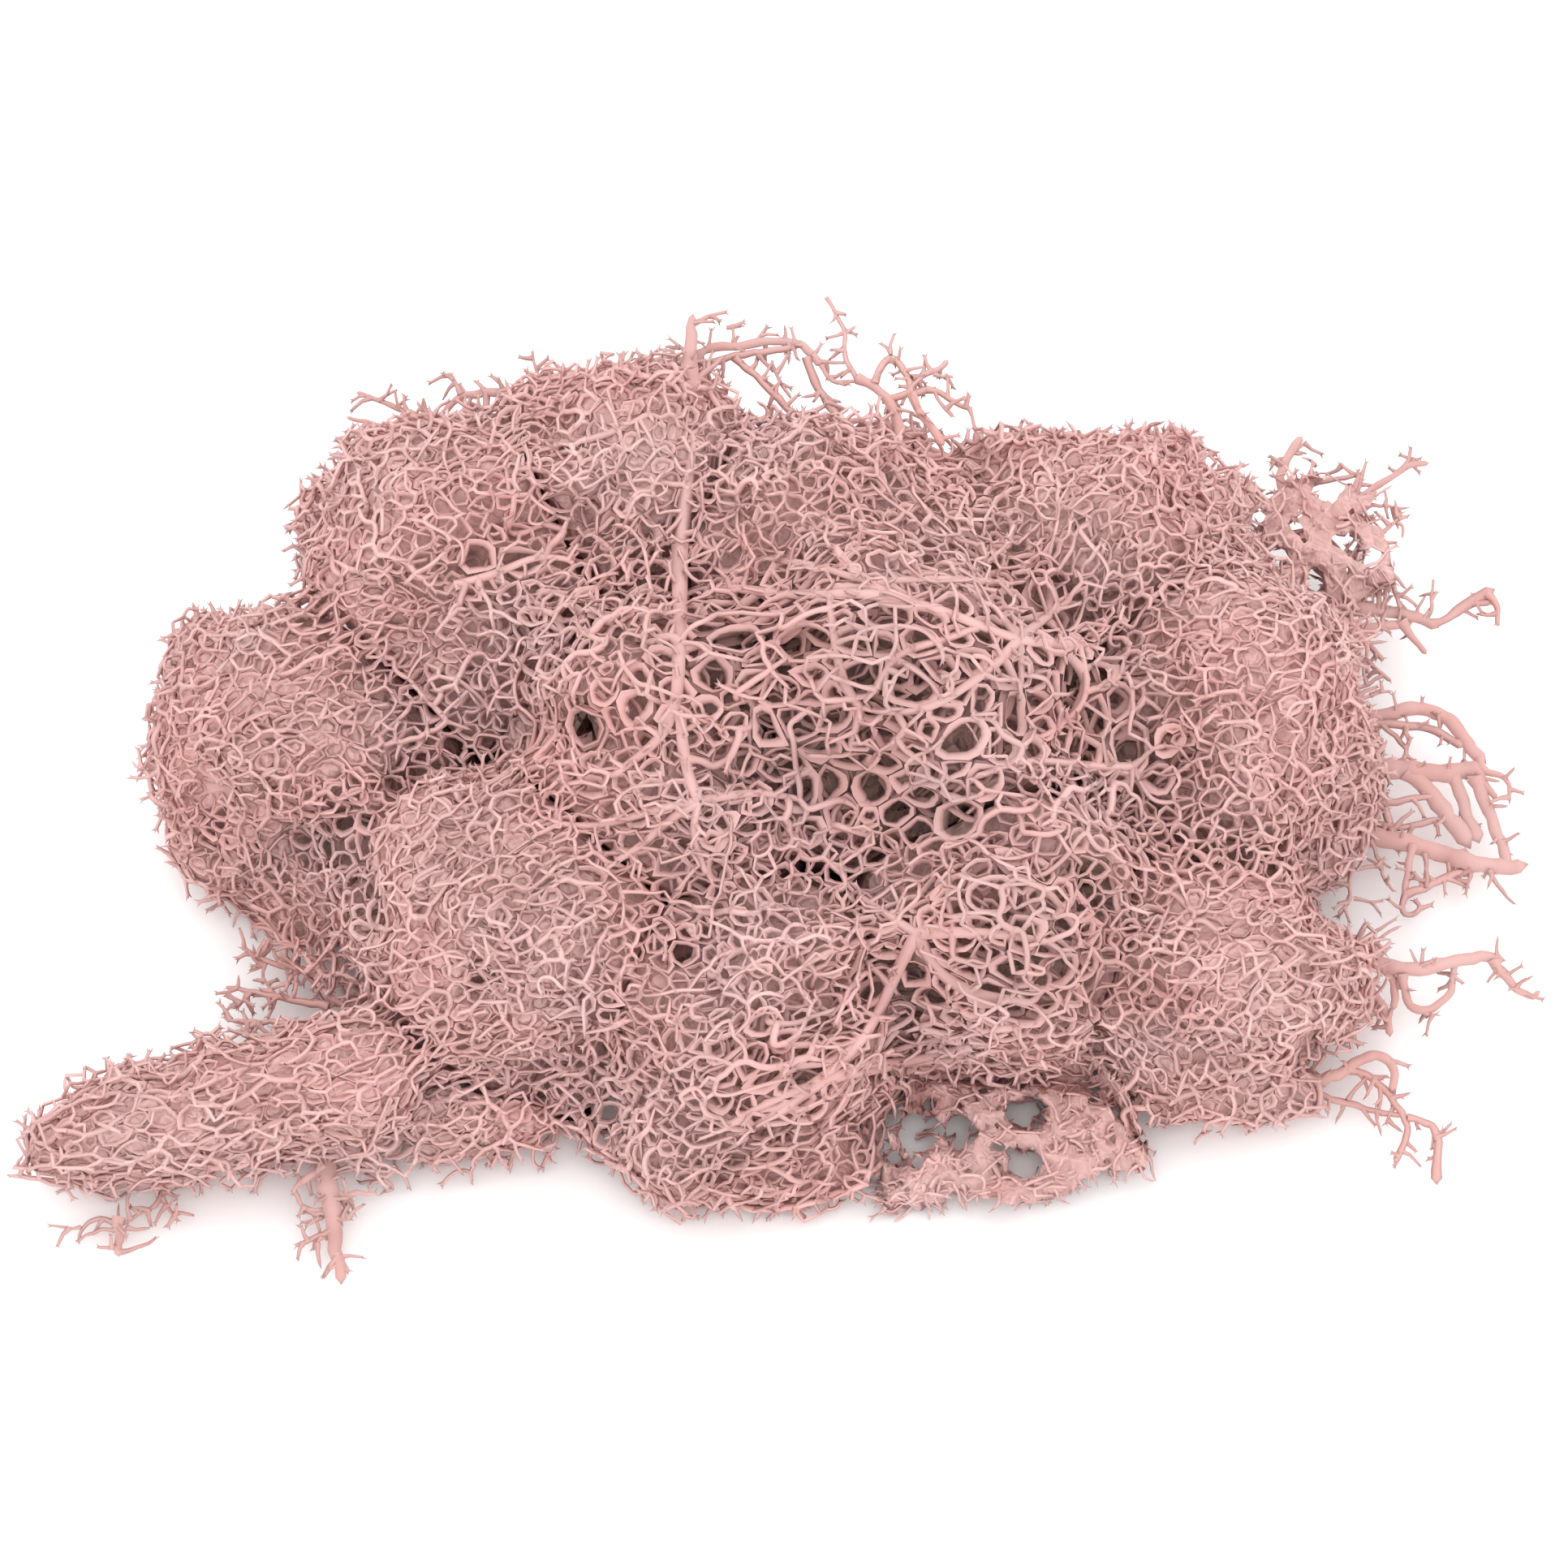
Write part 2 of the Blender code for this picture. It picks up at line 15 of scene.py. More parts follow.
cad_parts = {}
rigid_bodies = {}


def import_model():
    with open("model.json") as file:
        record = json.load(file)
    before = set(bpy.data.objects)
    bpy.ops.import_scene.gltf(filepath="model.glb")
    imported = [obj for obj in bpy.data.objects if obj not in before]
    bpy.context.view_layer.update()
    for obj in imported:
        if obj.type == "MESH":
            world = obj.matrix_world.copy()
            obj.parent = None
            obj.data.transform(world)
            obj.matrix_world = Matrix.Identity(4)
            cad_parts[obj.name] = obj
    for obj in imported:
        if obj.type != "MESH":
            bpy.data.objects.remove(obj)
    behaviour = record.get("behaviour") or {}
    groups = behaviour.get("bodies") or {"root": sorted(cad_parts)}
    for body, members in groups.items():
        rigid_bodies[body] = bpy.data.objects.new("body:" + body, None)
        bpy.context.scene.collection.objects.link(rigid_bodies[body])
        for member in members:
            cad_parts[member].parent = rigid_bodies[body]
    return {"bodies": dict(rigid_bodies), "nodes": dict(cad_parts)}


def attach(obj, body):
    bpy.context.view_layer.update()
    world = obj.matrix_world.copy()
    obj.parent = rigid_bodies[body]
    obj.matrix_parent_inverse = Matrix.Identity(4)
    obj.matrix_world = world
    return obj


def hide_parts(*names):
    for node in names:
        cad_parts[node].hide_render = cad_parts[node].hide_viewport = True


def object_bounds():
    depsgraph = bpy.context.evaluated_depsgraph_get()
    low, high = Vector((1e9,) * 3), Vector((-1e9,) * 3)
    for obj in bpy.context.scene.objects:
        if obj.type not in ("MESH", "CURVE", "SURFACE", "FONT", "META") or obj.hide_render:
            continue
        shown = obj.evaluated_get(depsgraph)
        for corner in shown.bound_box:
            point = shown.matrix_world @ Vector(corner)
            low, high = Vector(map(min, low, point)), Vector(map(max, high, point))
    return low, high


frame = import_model()

# The start-up file's own objects go
OWN = {*frame["nodes"].values(), *frame["bodies"].values()}
for thing in list(bpy.data.objects):
    if thing not in OWN:
        bpy.data.objects.remove(thing)
CAD_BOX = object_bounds()

MM = 0.001

# The view of the photograph, as in the part's source, in mm
VIEW_TILT = math.radians(55)
VIEW_DISTANCE = 600.0
VIEW_MIDDLE_PIXEL = 966
VIEW_SCALE = 0.0806
VIEW_TARGET = np.array((-0.3, -1.0, 18.0))
IMAGE_SIDE = 1932
SENSOR = 36.0
RIGHT = np.array((1.0, 0.0, 0.0))
UP = np.array((0.0, math.sin(VIEW_TILT), math.cos(VIEW_TILT)))
FORWARD = np.cross(UP, RIGHT)
EYE = VIEW_TARGET - FORWARD * VIEW_DISTANCE

TUFTS = [
    "crest_tuft", "shoulder_tuft", "left_tuft", "upper_middle_tuft", "upper_right_tuft", "right_tuft",
    "centre_web", "middle_tuft", "front_left_tuft", "front_tuft", "front_right_tuft", "lower_right_tuft",
    "lower_left_lobe", "front_fringe_tuft",
]
MAT = "lower_right_mat"
NET = "back_right_net"
MASSES = TUFTS + [NET, MAT]
SPRIGS = [
    "crest_sprig", "top_arc_sprig", "top_left_sprig", "upper_right_sprig", "right_arm_sprig",
    "right_fan_sprig", "lower_right_sprig", "curl_sprig", "hanging_sprig", "lobe_sprig", "left_fringe_sprig",
]

SEED = 11

# The grid over the clump: its step and the margin round it in mm, and the most steps that a distance counts
VOXEL = 1.0
MARGIN = 5.0
FAR = 14

# The outer form, in mm: half the width of the clefts that it fills near its edge, further in and for its
# hull, where further in begins, and the lumps' height and the rounds that soften each size of them
CLOSING = 2.0
WIDE_CLOSING = 7.5
HULL_CLOSING = 9.0
INLAND = 5.0
LUMP_HEIGHT = 0.45
LUMP_SHARE = 0.7
LUMP_ROUNDS = (3, 9)

# How far a place lies below the hull, in mm, which darkens the colour as painted shade, and how far in from
# the edge that starts to count, in steps
LEAST_SUNKEN = 1.0
MOST_SUNKEN = 8
SUNKEN_START = 4
SUNKEN_WIDTH = 8

# How many steps past its solid a piece's number reaches
LABEL_REACH = 6

# How far a column stands off the grid, so that it meets no edge, and the most faces that it may cross
COLUMN_NUDGE = (0.013, 0.017)
MOST_CROSSINGS = 12


def unit(vectors):
    """The vectors at length 1."""
    return vectors / np.maximum(np.linalg.norm(vectors, axis=-1, keepdims=True), 1e-9)


def pixels_of(points):
    """The pixels at which the view shows the points."""
    offset = points - VIEW_TARGET
    nearer = VIEW_DISTANCE / (VIEW_DISTANCE + offset @ FORWARD)
    px = VIEW_MIDDLE_PIXEL + offset @ RIGHT * nearer / VIEW_SCALE
    py = VIEW_MIDDLE_PIXEL - offset @ UP * nearer / VIEW_SCALE
    return np.stack([px, py], axis=1)


def ray_ways(pixels):
    """The view's way through each pixel."""
    pixels = np.atleast_2d(np.asarray(pixels, float))
    across = (pixels[:, :1] - VIEW_MIDDLE_PIXEL) * VIEW_SCALE
    above = (VIEW_MIDDLE_PIXEL - pixels[:, 1:2]) * VIEW_SCALE
    return unit(VIEW_TARGET + RIGHT * across + UP * above - EYE)


def at_height(ways, height):
    """The points at this height along the view's ways."""
    return EYE + ways * ((height - EYE[2]) / ways[:, 2])[:, None]


def eased(line):
    """The line, each inner value blended with the two beside it."""
    soft = line.copy()
    soft[1:-1] = (line[:-2] + 2 * line[1:-1] + line[2:]) / 4
    return soft


def square_to(vectors, ways):
    """The part of the vectors that is square to these ways."""
    return vectors - (vectors * ways).sum(axis=-1, keepdims=True) * ways


def tree_of(points):
    """The points in a tree that finds those nearest to a place."""
    tree = kdtree.KDTree(len(points))
    for index, point in enumerate(points.tolist()):
        tree.insert(point, index)
    tree.balance()
    return tree


def nearest_of(points, tree, number):
    """The numbers of the points nearest to each point, itself left out, and how far off they are."""
    others = np.empty((len(points), number - 1), int)
    gaps = np.empty((len(points), number - 1))
    for index, point in enumerate(points.tolist()):
        found = tree.find_n(point, number)[1:]
        others[index] = [item[1] for item in found]
        gaps[index] = [item[2] for item in found]
    return others, gaps


def grid_of(size):
    """All the steps of a flat grid of this size."""
    steps = np.meshgrid(*[np.arange(number) for number in size], indexing="ij")
    return np.stack(steps, axis=-1).reshape(-1, 2)


class Field:
    """Numbers on a grid, read between its points."""

    def __init__(self, low, values):
        self.low = low
        self.values = values
        self.slopes = None

    def read(self, values, points):
        place = np.clip((points - self.low) / VOXEL, 0, np.array(self.values.shape) - 1.001)
        cell = place.astype(int)
        part = place - cell
        total = 0
        for corner in range(8):
            step = np.array([corner >> 2 & 1, corner >> 1 & 1, corner & 1])
            share = np.prod(np.where(step, part, 1 - part), axis=1)
            index = cell + step
            total = total + share * values[index[:, 0], index[:, 1], index[:, 2]]
        return total

    def at(self, points):
        return self.read(self.values, points)

    def inward(self, points):
        """The way in which the field grows, at length 1."""
        if self.slopes is None:
            self.slopes = np.gradient(self.values, VOXEL)
        return unit(np.stack([self.read(slope, points) for slope in self.slopes], axis=1))

    def block(self, values, middle, reach):
        """The grid's values round a place, and where they are."""
        first = np.maximum(((middle - reach - self.low) / VOXEL).astype(int), 0)
        last = ((middle + reach - self.low) / VOXEL).astype(int) + 2
        part = values[first[0] : last[0], first[1] : last[1], first[2] : last[2]]
        steps = np.moveaxis(np.indices(part.shape), 0, -1) + first
        return part, self.low + steps * VOXEL


def distance_from(mask):
    """How far each grid point is from the mask, up to FAR steps."""
    square = np.where(mask, 0.0, float(FAR * FAR))
    for axis in range(mask.ndim):
        lines = np.moveaxis(square, axis, 0)
        best = lines.copy()
        for step in range(1, FAR):
            best[step:] = np.minimum(best[step:], lines[:-step] + step * step)
            best[:-step] = np.minimum(best[:-step], lines[step:] + step * step)
        square = np.moveaxis(best, 0, axis)
    return np.sqrt(square)


def closed_by(near, reach):
    """The grid points in the tufts or in clefts of theirs less than twice this reach wide."""
    return distance_from(near > reach) > reach


def softened(values):
    """The values, each blended with its neighbours."""
    for axis in range(3):
        values = np.moveaxis(eased(np.moveaxis(values, axis, 0)), 0, axis)
    return values


def arrays_of(mesh):
    """A mesh's corners and its triangles."""
    corners = np.empty(len(mesh.vertices) * 3, np.float32)
    mesh.vertices.foreach_get("co", corners)
    mesh.calc_loop_triangles()
    triangles = np.empty(len(mesh.loop_triangles) * 3, np.int32)
    mesh.loop_triangles.foreach_get("vertices", triangles)
    return corners.reshape(-1, 3).astype(float), triangles.reshape(-1, 3)


def mesh_of(name):
    """A CAD node's corners in mm, and its triangles."""
    corners, triangles = arrays_of(frame["nodes"][name].data)
    return corners / MM, triangles


def fill_columns(labels, low, corners, triangles, label):
    """Marks the grid points inside a closed mesh."""
    surface = BVHTree.FromPolygons(corners.tolist(), triangles.tolist())
    first = np.maximum(((corners.min(0) - low) / VOXEL).astype(int), 0)
    last = ((corners.max(0) - low) / VOXEL).astype(int) + 1
    up = Vector((0, 0, 1))
    for i in range(first[0], last[0] + 1):
        for j in range(first[1], last[1] + 1):
            x = low[0] + i * VOXEL + COLUMN_NUDGE[0]
            y = low[1] + j * VOXEL + COLUMN_NUDGE[1]
            hit = surface.ray_cast(Vector((x, y, -1.0)), up)[0]
            crossed = []
            while hit is not None and len(crossed) < MOST_CROSSINGS:
                crossed.append(hit.z)
                hit = surface.ray_cast(Vector((x, y, hit.z + 0.01)), up)[0]
            for enter, leave in zip(crossed[::2], crossed[1::2]):
                a = math.ceil((enter - low[2]) / VOXEL)
                b = math.floor((leave - low[2]) / VOXEL)
                labels[i, j, a : b + 1] = label


# Places where the tangle bulges past the solids: pixel, height and radius in mm, and the piece
BULGES = [
    (735, 1350, 6, 3.0, "front_tuft"),
    (752, 1400, 4, 3.0, "front_tuft"),
    (410, 1190, 5, 3.0, "front_left_tuft"),
    (440, 1215, 5, 3.4, "front_left_tuft"),
    (380, 1170, 5, 2.4, "front_left_tuft"),
    (470, 1445, 2, 2.4, "lower_left_lobe"),
]
LOWEST_BULGE = 0.3

# Places at the clump's edge where the photograph shows it clear: pixel, half width and half height in pixels
CLEARINGS = [
    (178, 815, 28, 85), (385, 560, 34, 44), (455, 505, 60, 26), (1390, 515, 140, 28), (1515, 560, 44, 26),
    (1695, 835, 32, 42), (1655, 1128, 52, 27), (1612, 1298, 22, 25), (45, 1335, 42, 38),
    (300, 1467, 62, 16), (1395, 1472, 72, 28), (692, 1402, 25, 30), (1600, 1395, 80, 22),
]

# Holes in the nets: pixel, width and height in pixels
GAPS = [
    (1131, 1398, 54, 43), (1182, 1395, 38, 47), (1102, 1430, 16, 19), (1128, 1432, 24, 15),
    (1268, 1372, 53, 37), (1226, 1417, 13, 17), (1249, 1417, 18, 17), (1264, 1433, 48, 34),
    (1219, 1310, 22, 24), (1211, 1343, 18, 14), (1255, 1335, 21, 12), (1370, 1289, 14, 17),
    (1401, 1321, 14, 19), (1397, 1350, 12, 12), (1374, 1369, 10, 11), (1349, 1340, 11, 12),
    (1423, 1314, 12, 12), (1520, 1306, 17, 13), (1550, 1312, 15, 21), (1042, 1433, 36, 27),
    (1057, 1406, 22, 19), (1140, 1365, 13, 16), (1637, 606, 26, 30), (1690, 690, 20, 22),
    (1620, 715, 24, 22), (1660, 670, 22, 20), (1535, 670, 26, 22), (1572, 685, 22, 20), (1497, 630, 24, 26),
    (1565, 598, 26, 22), (1545, 632, 16, 18), (1600, 648, 20, 18),
]


def in_ovals(points, ovals, size):
    """Which points the view shows in one of these ovals of the picture, at this size."""
    pixels = pixels_of(points)
    inside = np.zeros(len(points), bool)
    for px, py, wide, high in ovals:
        inside |= ((pixels[:, 0] - px) / (wide * size)) ** 2 + ((pixels[:, 1] - py) / (high * size)) ** 2 < 1
    return inside


def lumps(shape):
    """Soft unevenness for the outer form, in mm."""
    rng = np.random.default_rng(SEED + 5)
    total = 0
    for rounds in LUMP_ROUNDS:
        values = rng.normal(0, 1, shape)
        for _ in range(rounds):
            values = softened(values)
        total = total + values / values.std()
    return total * LUMP_HEIGHT * LUMP_SHARE


def make_fields():
    """How deep each place is below the clump's outer form, how sunken it is for painted shade, and the piece
    that it is in.
    """
    low = np.array(CAD_BOX[0]) / MM - MARGIN
    high = np.array(CAD_BOX[1]) / MM + MARGIN
    shape = tuple(np.ceil((high - low) / VOXEL).astype(int) + 1)
    labels = np.zeros(shape, np.int16)
    for index, name in enumerate(MASSES):
        fill_columns(labels, low, *mesh_of(name), index + 1)
    for px, py, height, radius, name in BULGES:
        middle = at_height(ray_ways((px, py)), height)[0]
        part, places = Field(low, labels).block(labels, middle, radius)
        inside = np.linalg.norm(places - middle, axis=-1) < radius
        part[inside & (places[..., 2] > LOWEST_BULGE) & (part == 0)] = MASSES.index(name) + 1
    near = distance_from((labels > 0) & (labels <= len(TUFTS)))
    closed = closed_by(near, CLOSING)
    room = distance_from(~closed.any(axis=2))[:, :, None]
    closed |= closed_by(near, WIDE_CLOSING) & (room > INLAND)
    closed |= labels > 0
    steps = np.argwhere(closed)
    cleared = steps[in_ovals(low + steps * VOXEL, CLEARINGS, 1.0)]
    closed[cleared[:, 0], cleared[:, 1], cleared[:, 2]] = False
    inner = distance_from(~closed)
    outer = distance_from(closed)
    depth = softened(np.where(closed, inner - 0.5, 0.5 - outer)) * VOXEL + lumps(shape)
    hull = closed_by(near, HULL_CLOSING) | closed
    # How far each place lies below the hull darkens its colour as painted shade in creases and hollows
    below = distance_from(~hull) * VOXEL - depth - LEAST_SUNKEN
    sunken = softened(np.clip(below, 0, MOST_SUNKEN))
    sunken *= np.clip((room - SUNKEN_START) / SUNKEN_WIDTH, 0, 1)
    spread = labels.copy()
    for _ in range(LABEL_REACH):
        empty = spread == 0
        for axis, way in product(range(3), (-1, 1)):
            moved = np.roll(spread, way, axis)
            spread = np.where((spread == 0) & empty, moved, spread)
    return Field(low, depth), Field(low, sunken), spread


def label_of(points):
    """The number of the piece that each point is in, 0 for none."""
    cell = np.rint((points - depth_field.low) / VOXEL).astype(int)
    cell = np.clip(cell, 0, np.array(spread.shape) - 1)
    return spread[cell[:, 0], cell[:, 1], cell[:, 2]]


depth_field, sunken_shade_field, spread = make_fields()

# Creases between the tufts, pressed in and darkened with painted shade: pixels along the way, half width in
# pixels and depth in mm
CREASES = [
    ([(250, 1030), (330, 1040), (430, 1030), (470, 985), (520, 945), (600, 915), (700, 890), (730, 893)],
     17, 2.4),
    ([(700, 890), (800, 930), (900, 950), (1000, 950), (1060, 970), (1110, 1005), (1180, 1010),
      (1260, 1030), (1350, 1080), (1372, 1150), (1362, 1225)], 17, 2.2),
    ([(425, 1040), (440, 1100), (465, 1140)], 20, 2.2),
    ([(205, 925), (255, 960), (262, 1030), (255, 1060)], 14, 1.8),
    ([(1205, 560), (1212, 610)], 12, 1.8),
]

# The grooves along a crease: their step in pixels, their reach in half widths, and the depth that they add to
# the colour as painted shade for each mm that they are pressed in
CREASE_STEP = 8.0
CREASE_REACH = 2.6
CREASE_SHADE = 1.5

# The joints are taken from lattices with these spacings in mm. The first is turned by so many radians, and
# each one after it by so many more. A joint strays by up to this share of the spacing.
LEVELS = [0.92, 1.08, 1.3, 1.6, 2.0, 2.6]
FIRST_TURN = 0.55
NEXT_TURN = 0.7
JITTER = 0.42

# How far apart the joints are, in mm: closed, what is added where open, the share that is added for each mm
# of depth, at the fringe, where the view doesn't see it, at the underside and in the nets
FINE_SPACING = 1.1
OPEN_SPACING = 1.6
DEEPER_SPACING = 0.1
FRINGE_SPACING = 1.3
HIDDEN_SPACING = 1.4
UNDERSIDE_SPACING = 2.2
NET_SPACING = 1.25

# Where these places are: the fringe's depth in mm, how much the outer form turns from the view and how deep
# that counts, and how much it turns down and how deep
FRINGE_DEPTH = -0.2
HIDDEN_TURN = -0.35
HIDDEN_DEPTH = -0.3
UNDERSIDE_TURN = 0.5
UNDERSIDE_DEPTH = 3

# How far out of the outer form and how deep in it the joints go, and the lowest of them, in mm
FRINGE_OUT = 0.95
NET_OUT = 0.6
SHELL_DEPTH = 0.9
OPEN_SHELL_DEPTH = 3.6
HOLLOW_SHELL_DEPTH = 5.5
LOWEST_JOINT = 0.35

# Which way the strands run: pixel, radius in pixels, angle in the picture in degrees, and strength. The pull
# makes it dearer to grow another way, and the width is how fast it falls off, in radii.
GRAIN = [
    (330, 1362, 150, 15, 0.95), (150, 1398, 110, 8, 0.8), (470, 1320, 110, 24, 0.8),
    (1050, 722, 110, -4, 0.9), (1180, 760, 80, -25, 0.6), (1120, 850, 90, 12, 0.5),
    (1050, 1300, 130, 23, 0.85), (930, 1370, 110, 20, 0.7), (1350, 740, 100, 80, 0.7),
    (840, 740, 60, 85, 0.7), (850, 460, 60, 88, 0.8), (430, 820, 120, 28, 0.55), (560, 740, 90, 15, 0.5),
    (640, 1060, 120, 12, 0.5), (780, 1020, 90, 15, 0.6), (700, 620, 90, 30, 0.4), (1500, 760, 90, 10, 0.4),
    (1230, 1180, 110, -15, 0.6), (1620, 1190, 90, 5, 0.6), (1480, 1150, 80, 40, 0.4),
    (620, 1180, 90, 60, 0.4),
]
GRAIN_PULL = 2.2
GRAIN_WIDTH = 0.8

# Where the strands are stout and far apart: pixel, radius in pixels and strength, and how fast it falls off
OPEN_PLACES = [
    (930, 790, 110, 1.0), (1080, 860, 130, 1.0), (1230, 830, 110, 0.9), (1330, 860, 80, 0.9),
    (1000, 930, 100, 0.9), (1150, 960, 100, 0.8), (800, 860, 70, 0.7), (1250, 1170, 110, 0.9),
    (1120, 1230, 90, 0.8), (960, 1340, 120, 0.6), (700, 760, 90, 0.45), (590, 700, 60, 0.5),
    (880, 1030, 110, 0.4), (1180, 1060, 100, 0.35), (1400, 930, 70, 0.7), (1060, 590, 60, 0.4),
    (1290, 760, 60, 0.8),
]
OPEN_WIDTH = 0.75

# Hollows, dark from their own shadow and from painted shade on the matted parts in them: pixel, radius in
# pixels and depth in mm
HOLLOWS = [
    (905, 785, 26, 6), (985, 790, 24, 6), (875, 838, 22, 6), (1320, 840, 28, 7), (1185, 910, 20, 6),
    (1245, 880, 18, 6), (720, 895, 24, 7), (840, 1170, 26, 7), (430, 1030, 30, 7), (380, 1045, 26, 6),
    (440, 1110, 34, 6), (640, 690, 22, 4), (590, 685, 20, 4), (1060, 835, 18, 5), (945, 900, 22, 6),
    (1035, 930, 22, 6), (1075, 965, 28, 7), (1100, 1000, 24, 7), (1140, 1010, 22, 6), (1170, 1005, 18, 6),
    (1350, 1110, 26, 6), (1345, 1080, 22, 6), (1120, 1210, 20, 4), (590, 1210, 20, 4), (740, 1240, 20, 4),
    (520, 945, 26, 6), (1400, 925, 20, 5), (1265, 740, 20, 5), (1285, 765, 16, 5), (1210, 600, 22, 5),
    (890, 1440, 20, 5), (1235, 1180, 18, 4), (260, 1030, 22, 5), (1180, 895, 16, 5), (1345, 925, 18, 5),
    (745, 1385, 20, 5),
]

# The hollows' walls sway by this much in mm, with so many radians to a mm. They narrow by this share on the
# way in, start this far before the outer form in mm, and joints lie deeper round them, up to this many
# times their width.
HOLLOW_SWAY = 0.8
HOLLOW_WAVES = 1.6
HOLLOW_TAPER = 0.35
HOLLOW_START = -3
HOLLOW_BORDER = 1.75

# How far before and past the middle of the clump the view looks for the outer form, and its step, in mm
SEARCH_REACH = 75.0
SEARCH_STEP = 0.25


def spaced_along(route, step):
    """Points this far apart along a route in the picture, in pixels."""
    route = np.array(route, float)
    runs = np.linalg.norm(np.diff(route, axis=0), axis=1)
    total = np.concatenate([[0], np.cumsum(runs)])
    count = max(2, int(round(total[-1] / step)) + 1)
    share = np.linspace(0, total[-1], count)
    line = np.stack([np.interp(share, total, route[:, axis]) for axis in range(route.shape[1])], axis=1)
    return eased(eased(line))


def on_surface(places, deep=0.0):
    """The points that the view shows at these pixels, this deep in the outer form, and which it meets."""
    ways = ray_ways([place[:2] for place in places])
    reach = VIEW_DISTANCE - SEARCH_REACH
    at = np.full(len(ways), reach)
    found = np.zeros(len(ways), bool)
    while reach < VIEW_DISTANCE + SEARCH_REACH:
        inside = (depth_field.at(EYE + ways * reach) >= deep) & ~found
        at[inside] = reach
        found |= inside
        reach += SEARCH_STEP
    return EYE + ways * at[:, None], found


def press_creases():
    """Draws the outer form in along the creases, and darkens the colour there with painted shade."""
    drawn = np.zeros_like(depth_field.values)
    for route, half, deep in CREASES:
        middles, found = on_surface(spaced_along(route, CREASE_STEP))
        for middle in middles[found]:
            part, places = depth_field.block(drawn, middle, half * VIEW_SCALE * CREASE_REACH)
            square = ((places - middle) ** 2).sum(axis=-1)
            groove = deep * np.exp(-square / (2 * (half * VIEW_SCALE) ** 2))
            np.maximum(part, groove, out=part)
    depth_field.values -= drawn
    sunken_shade_field.values += drawn * CREASE_SHADE


press_creases()
OPEN_MIDDLES = on_surface(OPEN_PLACES, 1.0)[0]
HOLLOW_MOUTHS = on_surface(HOLLOWS)[0]
HOLLOW_WAYS = unit(HOLLOW_MOUTHS - EYE)
GRAIN_MIDDLES = on_surface(GRAIN, 1.0)[0]


def nearness(points, middle, size):
    """How near each point is to a place: 1 there, and falling off smoothly over this size in mm."""
    return np.exp(-((points - middle) ** 2).sum(axis=1) / (2 * size**2))


def openness(points):
    """How open the tangle is at each point, 0 to 1."""
    total = np.zeros(len(points))
    for (*_, radius, strength), middle in zip(OPEN_PLACES, OPEN_MIDDLES):
        total = np.maximum(total, strength * nearness(points, middle, radius * VIEW_SCALE * OPEN_WIDTH))
    return total


def in_hollow(points, grow=1.0):
    """Whether each point is in one of the dark hollows, which run in along the view."""
    inside = np.zeros(len(points), bool)
    swayed = points + HOLLOW_SWAY * np.sin(points[:, [1, 2, 0]] * HOLLOW_WAVES + 1)
    for (*_, radius, deep), start, way in zip(HOLLOWS, HOLLOW_MOUTHS, HOLLOW_WAYS):
        offset = swayed - start
        along = offset @ way
        aside = np.linalg.norm(offset - along[:, None] * way, axis=1)
        wide = radius * VIEW_SCALE * grow * (1 - HOLLOW_TAPER * np.clip(along / deep, 0, 1))
        inside |= (along > HOLLOW_START) & (along < deep) & (aside < wide)
    return inside


def lattice(spacing, turn, rng):
    """Points about this far apart over the whole box, none in rows."""
    low = depth_field.low
    high = low + np.array(depth_field.values.shape) * VOXEL
    middle = (low + high) / 2
    half = np.linalg.norm((high - low)[:2]) / 2
    flat = np.arange(-half, half, spacing)
    tall = np.arange(low[2], high[2], spacing)
    x, y, z = np.meshgrid(flat, flat, tall, indexing="ij")
    points = np.stack([x.ravel(), y.ravel(), z.ravel()], axis=1)
    layer = np.rint((points[:, 2] - low[2]) / spacing).astype(int) % 2
    points[:, 0] += layer * spacing / 2
    points[:, 1] += layer * spacing / 2
    cos, sin = math.cos(turn), math.sin(turn)
    points[:, :2] = points[:, :2] @ np.array([[cos, sin], [-sin, cos]])
    points[:, :2] += middle[:2]
    points += rng.uniform(-JITTER, JITTER, points.shape) * spacing
    return points[((points > low) & (points < high)).all(axis=1) & (points[:, 2] > LOWEST_JOINT)]


def grain_at(points, inward):
    """The way the strands run at each point, as long as the pull that they follow it with."""
    total = np.zeros_like(points)
    most = np.zeros(len(points))
    for (*_, radius, angle, strength), middle in zip(GRAIN, GRAIN_MIDDLES):
        pull = strength * nearness(points, middle, radius * VIEW_SCALE * GRAIN_WIDTH)
        way = RIGHT * math.cos(math.radians(angle)) + UP * math.sin(math.radians(angle))
        total += pull[:, None] * way
        most = np.maximum(most, pull)
    return unit(square_to(total, inward)) * most[:, None]


